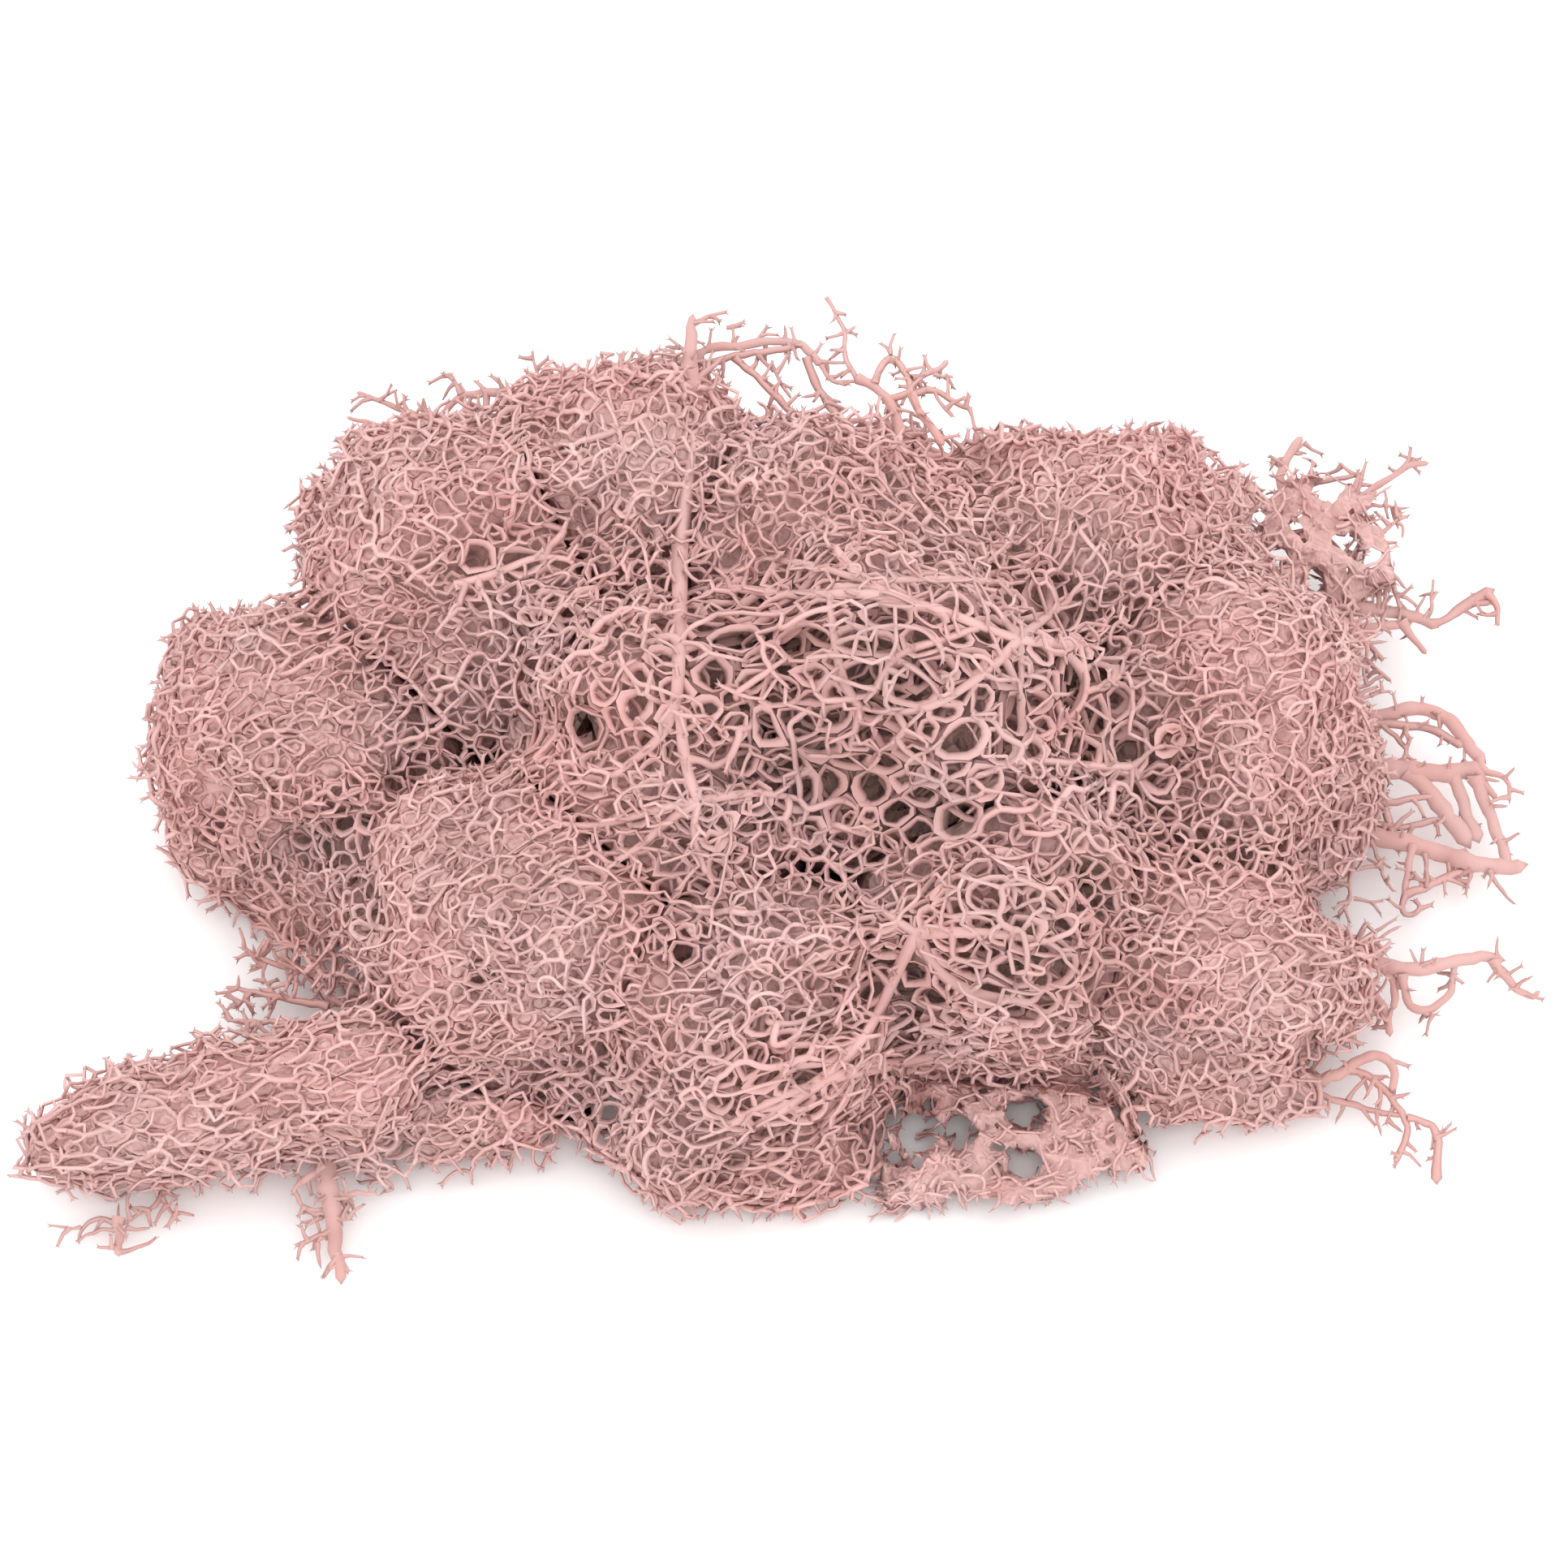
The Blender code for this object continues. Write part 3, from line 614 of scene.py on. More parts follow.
def wanted_spacing(points, depth, labels):
    """How far apart the joints are at each point, 0 where there are none, and how open it is there."""
    opened = openness(points)
    spacing = FINE_SPACING + OPEN_SPACING * opened
    spacing = spacing * (1 + DEEPER_SPACING * np.maximum(depth - 1.0, 0))
    spacing = np.where(depth < FRINGE_DEPTH, FRINGE_SPACING, spacing)
    inward = depth_field.inward(points)
    hidden = (inward @ FORWARD < HIDDEN_TURN) & (depth > HIDDEN_DEPTH)
    spacing = np.where(hidden, np.maximum(spacing, HIDDEN_SPACING), spacing)
    underneath = (inward[:, 2] > UNDERSIDE_TURN) & (depth < UNDERSIDE_DEPTH)
    spacing = np.where(underneath, UNDERSIDE_SPACING, spacing)
    net = labels > len(TUFTS)
    spacing = np.where(net, NET_SPACING, spacing)
    shell = np.where(net, FAR, SHELL_DEPTH + OPEN_SHELL_DEPTH * opened)
    shell = np.where(in_hollow(points, HOLLOW_BORDER), np.maximum(shell, HOLLOW_SHELL_DEPTH), shell)
    out = np.where(net, NET_OUT, FRINGE_OUT)
    wanted = (depth > -out) & (depth < shell) & (labels > 0)
    wanted &= ~in_hollow(points)
    wanted &= ~(net & in_ovals(points, GAPS, 0.5))
    return np.where(wanted, spacing, 0), opened


def scattered(rng):
    """The joints of the tangle, with how open it is round each."""
    kept = []
    edges = [0.5] + [math.sqrt(a * b) for a, b in zip(LEVELS, LEVELS[1:])] + [99]
    for index, spacing in enumerate(LEVELS):
        points = lattice(spacing, FIRST_TURN + NEXT_TURN * index, rng)
        depth = depth_field.at(points)
        near = (depth > -FRINGE_OUT - 0.1) & (depth < FAR)
        points, depth = points[near], depth[near]
        wanted, opened = wanted_spacing(points, depth, label_of(points))
        take = (wanted > edges[index]) & (wanted <= edges[index + 1])
        kept.append(np.column_stack([points, opened])[take])
    return np.concatenate(kept)


# What a step from joint to joint costs: factors of chance, the joints' distance in mm from the best depth,
# closed and open, and a factor for a step into another piece. Only a share of the way so far counts.
LUCK = (0.55, 1.6)
BEST_DEPTH = 3.0
OPEN_BEST_DEPTH = 1.0
OPEN_FROM = 0.4
DEPTH_COST = 0.25
LEAST_COST = 0.7
OTHER_PIECE_COST = 2.5
DIRECTNESS = 0.4

# How many of the nearest joints are looked at, the joint itself counted
NEIGHBOURS = 11


def prices_of(points, others, gaps, cost, labels, grain, rng):
    """What it costs a tree to grow from each joint to each of its neighbours."""
    luck = rng.uniform(*LUCK, len(points))
    price = gaps**1.5 * luck[others] * (cost[:, None] + cost[others])
    price *= np.where(labels[others] != labels[:, None], OTHER_PIECE_COST, 1.0)
    way = (points[others] - points[:, None]) / np.maximum(gaps, 1e-6)[..., None]
    along = np.abs((way * grain[:, None]).sum(axis=2))
    pull = np.linalg.norm(grain, axis=1)[:, None]
    return price * (1 + GRAIN_PULL * (pull - along))


def grow(count, others, prices, starts):
    """Joins the joints into trees that spread from the starts. Gives each joint's parent and their order."""
    parent = [-1] * count
    reached = [False] * count
    order = []
    others = others.tolist()
    prices = prices.tolist()
    queue = [(0.0, index, -1) for index in starts]
    heapq.heapify(queue)
    while queue:
        so_far, here, origin = heapq.heappop(queue)
        if reached[here]:
            continue
        reached[here] = True
        parent[here] = origin
        order.append(here)
        base = so_far * DIRECTNESS
        for other, price in zip(others[here], prices[here]):
            if not reached[other]:
                heapq.heappush(queue, (base + price, other, here))
    return np.array(parent), np.array(order)


# Stout stems that the photograph shows: pixels along the way, width in pixels at its two ends, and how flat
STEMS = [
    ([(838, 672), (837, 720), (838, 775), (836, 830), (832, 880), (812, 915), (782, 936), (757, 955)],
     24, 11, 0.6),
    ([(856, 545), (850, 580), (843, 625), (838, 672)], 11, 22, 0.7),
    ([(838, 880), (841, 926), (853, 979), (861, 987)], 15, 16, 0.8),
    ([(861, 987), (820, 1010), (788, 1047), (761, 1060)], 14, 9, 0.8),
    ([(861, 987), (905, 978), (941, 975), (985, 985)], 13, 8, 0.8),
    ([(861, 987), (850, 1030), (870, 1075)], 12, 8, 0.9),
    ([(861, 987), (815, 995), (740, 1020), (690, 1015)], 12, 8, 0.8),
    ([(1331, 795), (1258, 791), (1209, 771), (1131, 742), (1074, 722), (1040, 695), (1029, 675)],
     14, 12, 0.6),
    ([(1131, 742), (1066, 730), (976, 734), (930, 728), (886, 722)], 20, 13, 0.5),
    ([(1228, 718), (1150, 712), (1068, 718), (1002, 695), (960, 690)], 14, 9, 0.6),
    ([(1255, 787), (1290, 760), (1315, 742)], 14, 9, 0.8),
    ([(1255, 787), (1235, 760), (1213, 734), (1200, 715)], 13, 9, 0.8),
    ([(1255, 787), (1262, 830), (1255, 860)], 12, 9, 0.8),
    ([(1255, 787), (1225, 822), (1190, 845), (1150, 873), (1100, 880), (1060, 872)], 14, 9, 0.7),
    ([(1080, 850), (1090, 820), (1110, 800), (1160, 790), (1209, 771)], 12, 9, 0.7),
    ([(1060, 872), (1040, 850), (1030, 800), (1022, 735)], 14, 11, 0.8),
    ([(1060, 872), (1052, 905), (1045, 930)], 12, 8, 0.8),
    ([(1130, 1150), (1175, 1148), (1230, 1150), (1290, 1160)], 18, 9, 0.6),
    ([(1130, 1150), (1105, 1195), (1085, 1245), (1050, 1300), (1000, 1335)], 18, 12, 0.6),
    ([(1130, 1150), (1090, 1125), (1060, 1105)], 13, 8, 0.7),
    ([(1130, 1150), (1150, 1195), (1195, 1225), (1270, 1235)], 22, 12, 0.5),
    ([(960, 1372), (1000, 1340), (1051, 1314), (1116, 1308), (1160, 1308), (1210, 1302)], 16, 12, 0.5),
    ([(1200, 1290), (1150, 1300), (1090, 1315), (1020, 1330), (960, 1350), (900, 1385)], 15, 11, 0.7),
    ([(1250, 1265), (1180, 1275), (1110, 1290), (1040, 1322)], 13, 9, 0.7),
    ([(680, 545), (720, 545), (760, 530), (800, 510)], 12, 9, 0.8),
    ([(560, 720), (600, 712), (640, 695), (665, 680), (700, 690)], 13, 8, 0.8),
    ([(1395, 945), (1340, 945), (1290, 935), (1240, 940), (1200, 960)], 12, 8, 0.8),
    ([(1330, 795), (1345, 850), (1330, 880), (1290, 905)], 12, 8, 0.8),
]

# How far apart a stem's joints are, how deep they lie, and the least radius of a stem, in mm
STEM_STEP = 1.2
STEM_DEEP = 0.35
LEAST_STEM = 0.3

# Where a tuft's strands spread from: pixel and depth in mm
HEARTS = [
    (760, 620, 6), (690, 560, 5), (600, 740, 6), (470, 660, 4), (660, 800, 5), (430, 930, 5), (330, 900, 6),
    (1030, 620, 5), (1120, 640, 6), (1330, 660, 5), (1430, 720, 6), (1520, 830, 6), (1570, 960, 6),
    (1450, 960, 5), (760, 990, 5), (700, 1120, 5), (540, 1130, 5), (470, 1200, 4), (620, 1250, 5),
    (900, 1200, 5), (830, 1330, 5), (960, 1260, 5), (1000, 1400, 5), (1320, 1160, 5), (1480, 1170, 5),
    (1600, 1190, 4), (1420, 1290, 4), (520, 1320, 4), (330, 1360, 4), (150, 1400, 4), (600, 1390, 3),
    (1230, 1395, 1.5), (1100, 1430, 1.5), (1420, 1350, 1.5), (1590, 665, 2), (1510, 640, 2),
]

# Shares of a heart's depth that are tried, and the depth in the outer form that one needs in mm
HEART_SHARES = (1.0, 0.7, 0.4)
HEART_DEPTH = 0.5

# Radii in mm. A joint's radius to the power PIPE is the sum of those of the tips that it bears. Then how
# flat the nets' strands are, and how often the joints are drawn together.
TIP_RADIUS = 0.2
OPEN_TIP_RADIUS = 0.25
NET_TIP_RADIUS = 0.22
PIPE = 5.0
MOST_RADIUS = 0.34
OPEN_MOST_RADIUS = 0.8
NET_FLATNESS = 0.5
SMOOTHINGS = 3


def stem_joints():
    """The joints of the stout stems: places, radii, flatness, and which one each grows from."""
    places, radii, flats, before = [], [], [], []
    for route, start, end, flat in STEMS:
        at, found = on_surface(spaced_along(route, STEM_STEP / VIEW_SCALE), STEM_DEEP)
        at = eased(eased(at))
        widths = np.linspace(start, end, len(at))
        previous = -1
        for point, width, hit in zip(at, widths, found):
            if not hit:
                previous = -1
                continue
            before.append(previous)
            previous = len(places)
            places.append(point)
            radii.append(width * VIEW_SCALE / 2)
            flats.append(flat)
    return np.array(places), np.array(radii), np.array(flats), np.array(before)


def heart_joints(tree, count):
    """The joints that the tufts' strands spread from, at the hearts' depth or as deep as there is room."""
    starts = []
    for (*_, deep), mouth in zip(HEARTS, on_surface(HEARTS)[0]):
        way = unit(mouth - EYE)
        for share in HEART_SHARES:
            target = mouth + way * deep * share
            if depth_field.at(target[None])[0] > HEART_DEPTH:
                break
        starts.append(tree.find(target.tolist())[1])
    return [start for start in starts if start < count]


def loads_of(parent, order, tip):
    """The tips that each joint bears, as a sum of powers of their radii, and its stoutest child."""
    parents = parent.tolist()
    tips = (tip**PIPE).tolist()
    loads = [0.0] * len(tips)
    heaviest = [0.0] * len(tips)
    main = [-1] * len(tips)
    for here in order[::-1].tolist():
        if loads[here] == 0:
            loads[here] = tips[here]
        up = parents[here]
        if up >= 0:
            loads[up] += loads[here]
            if loads[here] > heaviest[up]:
                heaviest[up] = loads[here]
                main[up] = here
    return np.array(loads), main


def draw_together(points, parent, count):
    """Moves each joint that isn't a stem's halfway to the middle of the joints that it is joined to."""
    child = np.nonzero(parent >= 0)[0]
    for _ in range(SMOOTHINGS):
        total = np.zeros_like(points)
        number = np.zeros(len(points))
        for one, other in ((parent[child], child), (child, parent[child])):
            np.add.at(total, one, points[other])
            np.add.at(number, one, 1)
        inner = (number > 1) & (np.arange(len(points)) < count)
        mean = total[inner] / number[inner, None]
        points[inner] += 0.5 * (mean - points[inner])


def make_tangle():
    """The joints of the whole clump, with each one's parent, stoutest child, size, piece and neighbours."""
    rng = np.random.default_rng(SEED)
    scatter = scattered(rng)
    stems, stem_radii, stem_flats, stem_before = stem_joints()
    count = len(scatter)
    points = np.concatenate([scatter[:, :3], stems])
    labels = label_of(points)
    opened = np.concatenate([scatter[:, 3], openness(stems)])
    tree = tree_of(points)
    others, gaps = nearest_of(points, tree, NEIGHBOURS)
    grain = grain_at(points, depth_field.inward(points))
    best = np.where(opened > OPEN_FROM, OPEN_BEST_DEPTH, BEST_DEPTH)
    cost = LEAST_COST + DEPTH_COST * np.abs(depth_field.at(points) - best)
    starts = list(range(count, len(points))) + heart_joints(tree, count)
    prices = prices_of(points, others, gaps, cost, labels, grain, rng)
    parent, order = grow(len(points), others, prices, starts)
    parent[count:] = np.where(stem_before >= 0, stem_before + count, -1)
    order = np.concatenate([np.arange(count, len(points)), order[order < count]])
    net = labels > len(TUFTS)
    tip = np.where(net, NET_TIP_RADIUS, TIP_RADIUS + (OPEN_TIP_RADIUS - TIP_RADIUS) * opened)
    loads, main = loads_of(parent, order, tip)
    for index in np.nonzero(stem_before >= 0)[0].tolist():
        main[stem_before[index] + count] = count + index
    radius = np.minimum(loads ** (1 / PIPE), MOST_RADIUS + (OPEN_MOST_RADIUS - MOST_RADIUS) * opened)
    radius[count:] = np.maximum(stem_radii, LEAST_STEM)
    flat = np.where(net, NET_FLATNESS, 1.0)
    flat[count:] = stem_flats
    draw_together(points, parent, count)
    return SimpleNamespace(
        points=points, parent=parent, order=order, main=main, radius=radius, flat=flat,
        opened=opened, labels=labels, others=others, gaps=gaps,
    )


def chains_of(tangle):
    """The tangle as runs of joints, each along its stoutest children, with the joint that it grows from."""
    used = np.zeros(len(tangle.points), bool)
    runs = []
    for here in tangle.order.tolist():
        if used[here]:
            continue
        run = [here]
        used[here] = True
        follow = tangle.main[here]
        while follow >= 0 and not used[follow]:
            used[follow] = True
            run.append(follow)
            follow = tangle.main[follow]
        runs.append((tangle.parent[here], run))
    return runs


class Strands:
    """Runs of points that become tubes, gathered a piece at a time."""

    def __init__(self):
        self.points = []
        self.radii = []
        self.flats = []
        self.lengths = []
        self.tones = []

    def add(self, points, tip, radii, flats, tone):
        """Adds a run that ends in a point at the tip."""
        self.points += [points, tip[None]]
        self.radii.append(np.append(radii, 0))
        self.flats.append(np.append(flats, 1))
        self.lengths.append(len(points) + 1)
        self.tones.append(tone)


def doubled(values, middles):
    """The values with one of the middles between each two."""
    out = np.empty((len(values) * 2 - 1, *values.shape[1:]))
    out[::2] = values
    out[1::2] = middles
    return out


def halved(points, radii, flats):
    """The run with a point more between each two, on a smooth curve through them."""
    if len(points) < 3:
        middle = (points[:-1] + points[1:]) / 2
    else:
        before = np.concatenate([points[:1] * 2 - points[1:2], points[:-2]])
        after = np.concatenate([points[2:], points[-1:] * 2 - points[-2:-1]])
        middle = (9 * (points[:-1] + points[1:]) - before - after) / 16
    wide = doubled(radii, (radii[:-1] + radii[1:]) / 2)
    level = doubled(flats, (flats[:-1] + flats[1:]) / 2)
    return doubled(points, middle), wide, level


def any_side(way, rng):
    """A way across this one."""
    side = np.cross(way, rng.normal(size=3))
    return side / max(np.linalg.norm(side), 1e-6)


# The lowest that a strand's tip goes, in mm
LOWEST_TIP = 0.15

# Pairs of tines at the strands' ends: how far they lean out, how their length varies, how much the second
# one strays from opposite the first, and their radius as a share of the strand's
PRONG_LEANS = (0.45, 1.0)
PRONG_REACHES = (0.7, 1.2)
PRONG_STRAY = 0.4
PRONG_THINNESS = 0.9


def add_prongs(strands, base, way, radius, tone, rng, length):
    """Two thin tines that fork from the end of a strand."""
    first = any_side(way, rng)
    for index in range(2):
        side = first if index == 0 else -first + PRONG_STRAY * any_side(way, rng)
        lean = rng.uniform(*PRONG_LEANS)
        ahead = way + side * lean
        ahead /= np.linalg.norm(ahead)
        reach = length * rng.uniform(*PRONG_REACHES)
        end = base + ahead * reach
        end[2] = max(end[2], LOWEST_TIP)
        strands.add(base[None], end, [radius * PRONG_THINNESS], [1], tone)


# Places painted with shade, or with light where the last value is less than 0: pixel, half width and half
# height in pixels, and by how many mm of depth. Then their half depth in pixels, and how fast they fall off.
PAINTED_SHADING_PLACES = [
    (315, 885, 60, 70, 2.6), (640, 1090, 90, 60, 2.8), (560, 1035, 90, 50, 2.0), (1440, 1240, 80, 60, 2.8),
    (830, 1450, 80, 50, 1.0), (1265, 1325, 140, 28, -3.0), (385, 1180, 60, 50, -2.2),
    (780, 680, 110, 50, -1.8), (470, 1420, 90, 25, -2.0), (1335, 1110, 50, 110, 1.6),
    (1270, 1240, 60, 35, 1.4), (830, 1440, 100, 70, 1.8), (700, 850, 35, 100, 1.4), (880, 860, 30, 70, 1.4),
    (1010, 930, 110, 35, 1.2), (1480, 1010, 60, 90, 0.8),
]
PAINTED_SHADING_MIDDLES = on_surface(PAINTED_SHADING_PLACES)[0]
PAINTED_SHADING_DEPTH = 80
PAINTED_SHADING_WIDTH = 0.8

# What the painted shade of sunken places and the painted shading places add to the depth is divided by this,
# and by this much more where it is open
CLOSED_DIVISOR = 0.45
OPEN_DIVISOR = 1.05


def shade_depth(points):
    """The depth that sets the colour: more in the creases and hollows of the outer form as painted shade, and
    more or less at the painted shading places.
    """
    more = sunken_shade_field.at(points)
    for (*_, wide, high, amount), middle in zip(PAINTED_SHADING_PLACES, PAINTED_SHADING_MIDDLES):
        offset = points - middle
        square = ((offset @ RIGHT) / wide) ** 2 + ((offset @ UP) / high) ** 2
        square = square + ((offset @ FORWARD) / PAINTED_SHADING_DEPTH) ** 2
        more += amount * np.exp(-square / (2 * (VIEW_SCALE * PAINTED_SHADING_WIDTH) ** 2))
    return depth_field.at(points) + more / (CLOSED_DIVISOR + OPEN_DIVISOR * openness(points))


# The radii in mm from which a tube has four and six sides rather than three
FOUR_SIDES_FROM = 0.36
SIX_SIDES_FROM = 0.5

# The tone, 0 to 1, of the web's rims and of the matted parts, and the openness that counts in their hollows,
# which darkens the matted parts there as painted shade
RIM_TONE = 0.55
MATTED_TONE = 0.5
HOLLOW_SHADE_OPENNESS = 1.2


def tube_frames(points, flats, lengths, starts, facing):
    """Two ways across each point of the tubes. The first is carried along a tube and turns to face inward."""
    last = starts + lengths - 1
    ways = np.empty_like(points)
    ways[1:-1] = points[2:] - points[:-2]
    ways[starts] = points[starts + 1] - points[starts]
    ways[last] = points[last] - points[last - 1]
    ways = unit(ways)
    inward = depth_field.inward(points) if facing is None else np.tile(facing, (len(points), 1))
    leaning = unit(square_to(inward, ways) + 1e-6)
    side = leaning.copy()
    flat_run = np.repeat(np.minimum.reduceat(flats, starts) < 0.99, lengths)
    for step in range(1, lengths.max()):
        at = starts[lengths > step] + step
        carried = unit(square_to(side[at - 1], ways[at]))
        blend = np.where(flat_run[at, None], 0.5, 0.0)
        side[at] = unit(carried * (1 - blend) + leaning[at] * blend)
    return side, np.cross(ways, side)


def tube_faces(points, radii, flats, lengths, starts, facing):
    """The tubes' corners, the point that each is of, and their faces of four and of three corners."""
    side, other = tube_frames(points, flats, lengths, starts, facing)
    widest = radii[starts + 1]
    sides_of = np.where(widest > SIX_SIDES_FROM, 6, np.where(widest > FOUR_SIDES_FROM, 4, 3))
    is_last = np.zeros(len(points), bool)
    is_last[starts + lengths - 1] = True
    corners, quads, thirds, source = [], [], [], []
    used = 0
    for sides in (3, 4, 6):
        index = np.nonzero(np.repeat(sides_of, lengths) == sides)[0]
        if not len(index):
            continue
        ring = index[~is_last[index]]
        apex = index[is_last[index]]
        turn = np.arange(sides) * 2 * np.pi / sides
        thin = radii[ring] * np.minimum(1.0, flats[ring])
        wide = radii[ring]
        rim = (
            points[ring, None]
            + side[ring, None] * (thin[:, None] * np.cos(turn))[..., None]
            + other[ring, None] * (wide[:, None] * np.sin(turn))[..., None]
        )
        first = np.full(len(points), -1)
        first[ring] = used + np.arange(len(ring)) * sides
        first[apex] = used + len(ring) * sides + np.arange(len(apex))
        corners += [rim.reshape(-1, 3), points[apex]]
        source += [np.repeat(ring, sides), apex]
        here = np.arange(sides)
        after = (here + 1) % sides
        followed = ring[~is_last[ring + 1]]
        low, high = first[followed][:, None], first[followed + 1][:, None]
        quads.append(np.stack([low + here, low + after, high + after, high + here], axis=-1).reshape(-1, 4))
        low, tip = first[apex - 1][:, None], np.repeat(first[apex][:, None], sides, axis=1)
        thirds.append(np.stack([low + here, low + after, tip], axis=-1).reshape(-1, 3))
        used += len(ring) * sides + len(apex)
    return [np.concatenate(parts) for parts in (corners, source, quads, thirds)]


def piece_mesh(name, strands, cells=None, extra=None, facing=None):
    """A mesh of a piece: a tube for each strand, the web's rims, and the matted part."""
    points = np.concatenate(strands.points)
    radii = np.concatenate(strands.radii)
    flats = np.concatenate(strands.flats)
    lengths = np.array(strands.lengths)
    starts = np.concatenate([[0], np.cumsum(lengths)[:-1]])
    corners, source, quads, thirds = tube_faces(points, radii, flats, lengths, starts, facing)
    depth = shade_depth(points)[source] if facing is None else np.full(len(source), SPRIG_DEPTH)
    tone = np.repeat(strands.tones, lengths)[source]
    looks = [(depth, tone, np.zeros(len(source)), openness(points)[source])]
    if cells is not None and cells.used:
        rims = np.concatenate(cells.corners)
        quads = np.concatenate([quads] + [block + len(corners) for block in cells.quads])
        corners = np.concatenate([corners, rims])
        depth = np.concatenate(cells.depths) + shade_depth(rims) - depth_field.at(rims)
        looks.append((depth, np.full(len(rims), RIM_TONE), np.zeros(len(rims)), openness(rims)))
    if extra is not None:
        more, triangles, depth = extra
        thirds = np.concatenate([thirds, triangles + len(corners)])
        corners = np.concatenate([corners, more])
        # In the hollows the matted parts count as more open, which darkens them as painted shade
        opened = np.where(in_hollow(more, 1.3), HOLLOW_SHADE_OPENNESS, openness(more))
        looks.append((depth, np.full(len(more), MATTED_TONE), np.ones(len(more)), opened))
    mesh = bpy.data.meshes.new(name)
    mesh.vertices.add(len(corners))
    mesh.vertices.foreach_set("co", (corners * MM).astype(np.float32).ravel())
    loops = np.concatenate([quads.ravel(), thirds.ravel()])
    mesh.loops.add(len(loops))
    mesh.loops.foreach_set("vertex_index", loops.astype(np.int32))
    first = np.concatenate([np.arange(len(quads)) * 4, len(quads) * 4 + np.arange(len(thirds)) * 3])
    mesh.polygons.add(len(first))
    mesh.polygons.foreach_set("loop_start", first.astype(np.int32))
    mesh.polygons.foreach_set("use_smooth", np.ones(len(first), bool))
    mesh.update(calc_edges=True)
    for title, parts in zip(("depth", "tone", "matted", "opened"), zip(*looks)):
        layer = mesh.attributes.new(title, "FLOAT", "POINT")
        layer.data.foreach_set("value", np.concatenate(parts).astype(np.float32))
    return mesh


# Cells of the web that the stouter strands form: pixel, width and height in pixels
WEB_CELLS = [
    (902, 685, 34, 22), (1007, 683, 54, 17), (907, 787, 55, 38), (941, 806, 40, 12), (992, 791, 50, 36),
    (880, 832, 40, 24), (872, 873, 24, 20), (943, 897, 38, 24), (915, 934, 26, 16), (960, 926, 30, 18),
    (984, 979, 54, 22), (1062, 836, 40, 42), (1076, 869, 24, 20), (1115, 844, 62, 32), (1139, 791, 40, 16),
    (1176, 783, 44, 12), (1192, 815, 36, 14), (1237, 826, 30, 16), (1251, 738, 36, 26), (1280, 767, 40, 26),
    (1321, 844, 42, 52), (1251, 881, 32, 32), (1188, 911, 46, 36), (1147, 901, 24, 16), (1337, 926, 46, 26),
    (1392, 922, 52, 38), (1274, 926, 40, 18), (1074, 971, 36, 32), (1102, 1003, 26, 22),
    (1127, 1024, 22, 18), (1180, 1009, 36, 36), (1243, 999, 32, 24), (1135, 979, 26, 18),
    (1025, 885, 26, 24), (1058, 909, 24, 20), (930, 745, 44, 16), (1010, 752, 36, 18), (1095, 755, 34, 20),
    (1050, 790, 30, 26), (1175, 745, 36, 14), (1085, 690, 34, 20), (1150, 690, 30, 16), (1225, 690, 26, 18),
    (1420, 870, 30, 24), (1370, 800, 24, 34), (1320, 900, 28, 14), (1430, 925, 26, 32), (720, 895, 44, 34),
    (640, 690, 50, 26), (590, 685, 40, 24), (700, 650, 30, 22), (740, 700, 24, 34), (780, 870, 20, 40),
]

# Layers of the web, three open ones from the top down and a fine one: depth, spacing and rim width in mm,
# sides of a cell, and between which values of openness the layer is there
LAYERS = [
    (0.3, 2.9, 0.44, 14, 0.36, 1.1),
    (2.1, 3.0, 0.38, 12, 0.25, 1.1),
    (4.2, 3.3, 0.42, 10, 0.40, 1.1),
    (0.4, 1.9, 0.28, 8, -0.1, 0.4),
]

# Where cells are tried: the band of grid depths in mm, tries at each, and how near its depth one has to come
LEVEL_BAND = 0.9
CELL_TRIES = 3
LEVEL_SLACK = 0.3
OPEN_SLACK = 0.2

# How the cells vary in size, the share of their size that they need for themselves, how much they stretch
# along the strands and how that varies, how many cells shape one, itself counted, and how sharp the corners
# of the holes are
CELL_SIZES = (0.72, 1.25)
CELL_SHARE = 0.92
CELL_STRETCH = 1.1
STRETCHES = (0.5, 1.2)
CELL_NEIGHBOURS = 17
SHARPNESS = 9.0

# How much chance and the level way count beside the grain for the way that a cell lies, and what is added to
# the grain's pull. How far a cell and its hole reach at most, in sizes, the least share of the way to a
# neighbour or of a hole that is left, and how much the holes wobble.
CHANCE_PULL = 0.35
ADDED_PULL = 0.25
MOST_REACH = 2.3
MOST_HOLE = 1.8
LEAST_SHARE = 0.12
HOLE_WOBBLE = 0.2

# How the rims vary in width, and in mm how thick they are, how far a corner may move to its level, and the
# lowest corner. The web isn't there where the outer form turns down by more than the last.
RIM_WIDTHS = (0.65, 1.5)
RIM_THICKNESS = (0.2, 0.55)
MOST_SETTLING = 1.6
LOWEST_RIM = 0.1
WEB_UNDERSIDE = 0.35

# A rim's section, from the line between cells to the hole and round under it: share of the way, and drop in
# thicknesses. Layers whose cells have more than nine sides get the finer one.
FINE_SECTION = ((0.0, 0.0), (0.5, 0.28), (1.0, 1.0), (0.0, 1.9))
PLAIN_SECTION = ((0.0, 0.0), (1.0, 0.8), (0.0, 1.7))


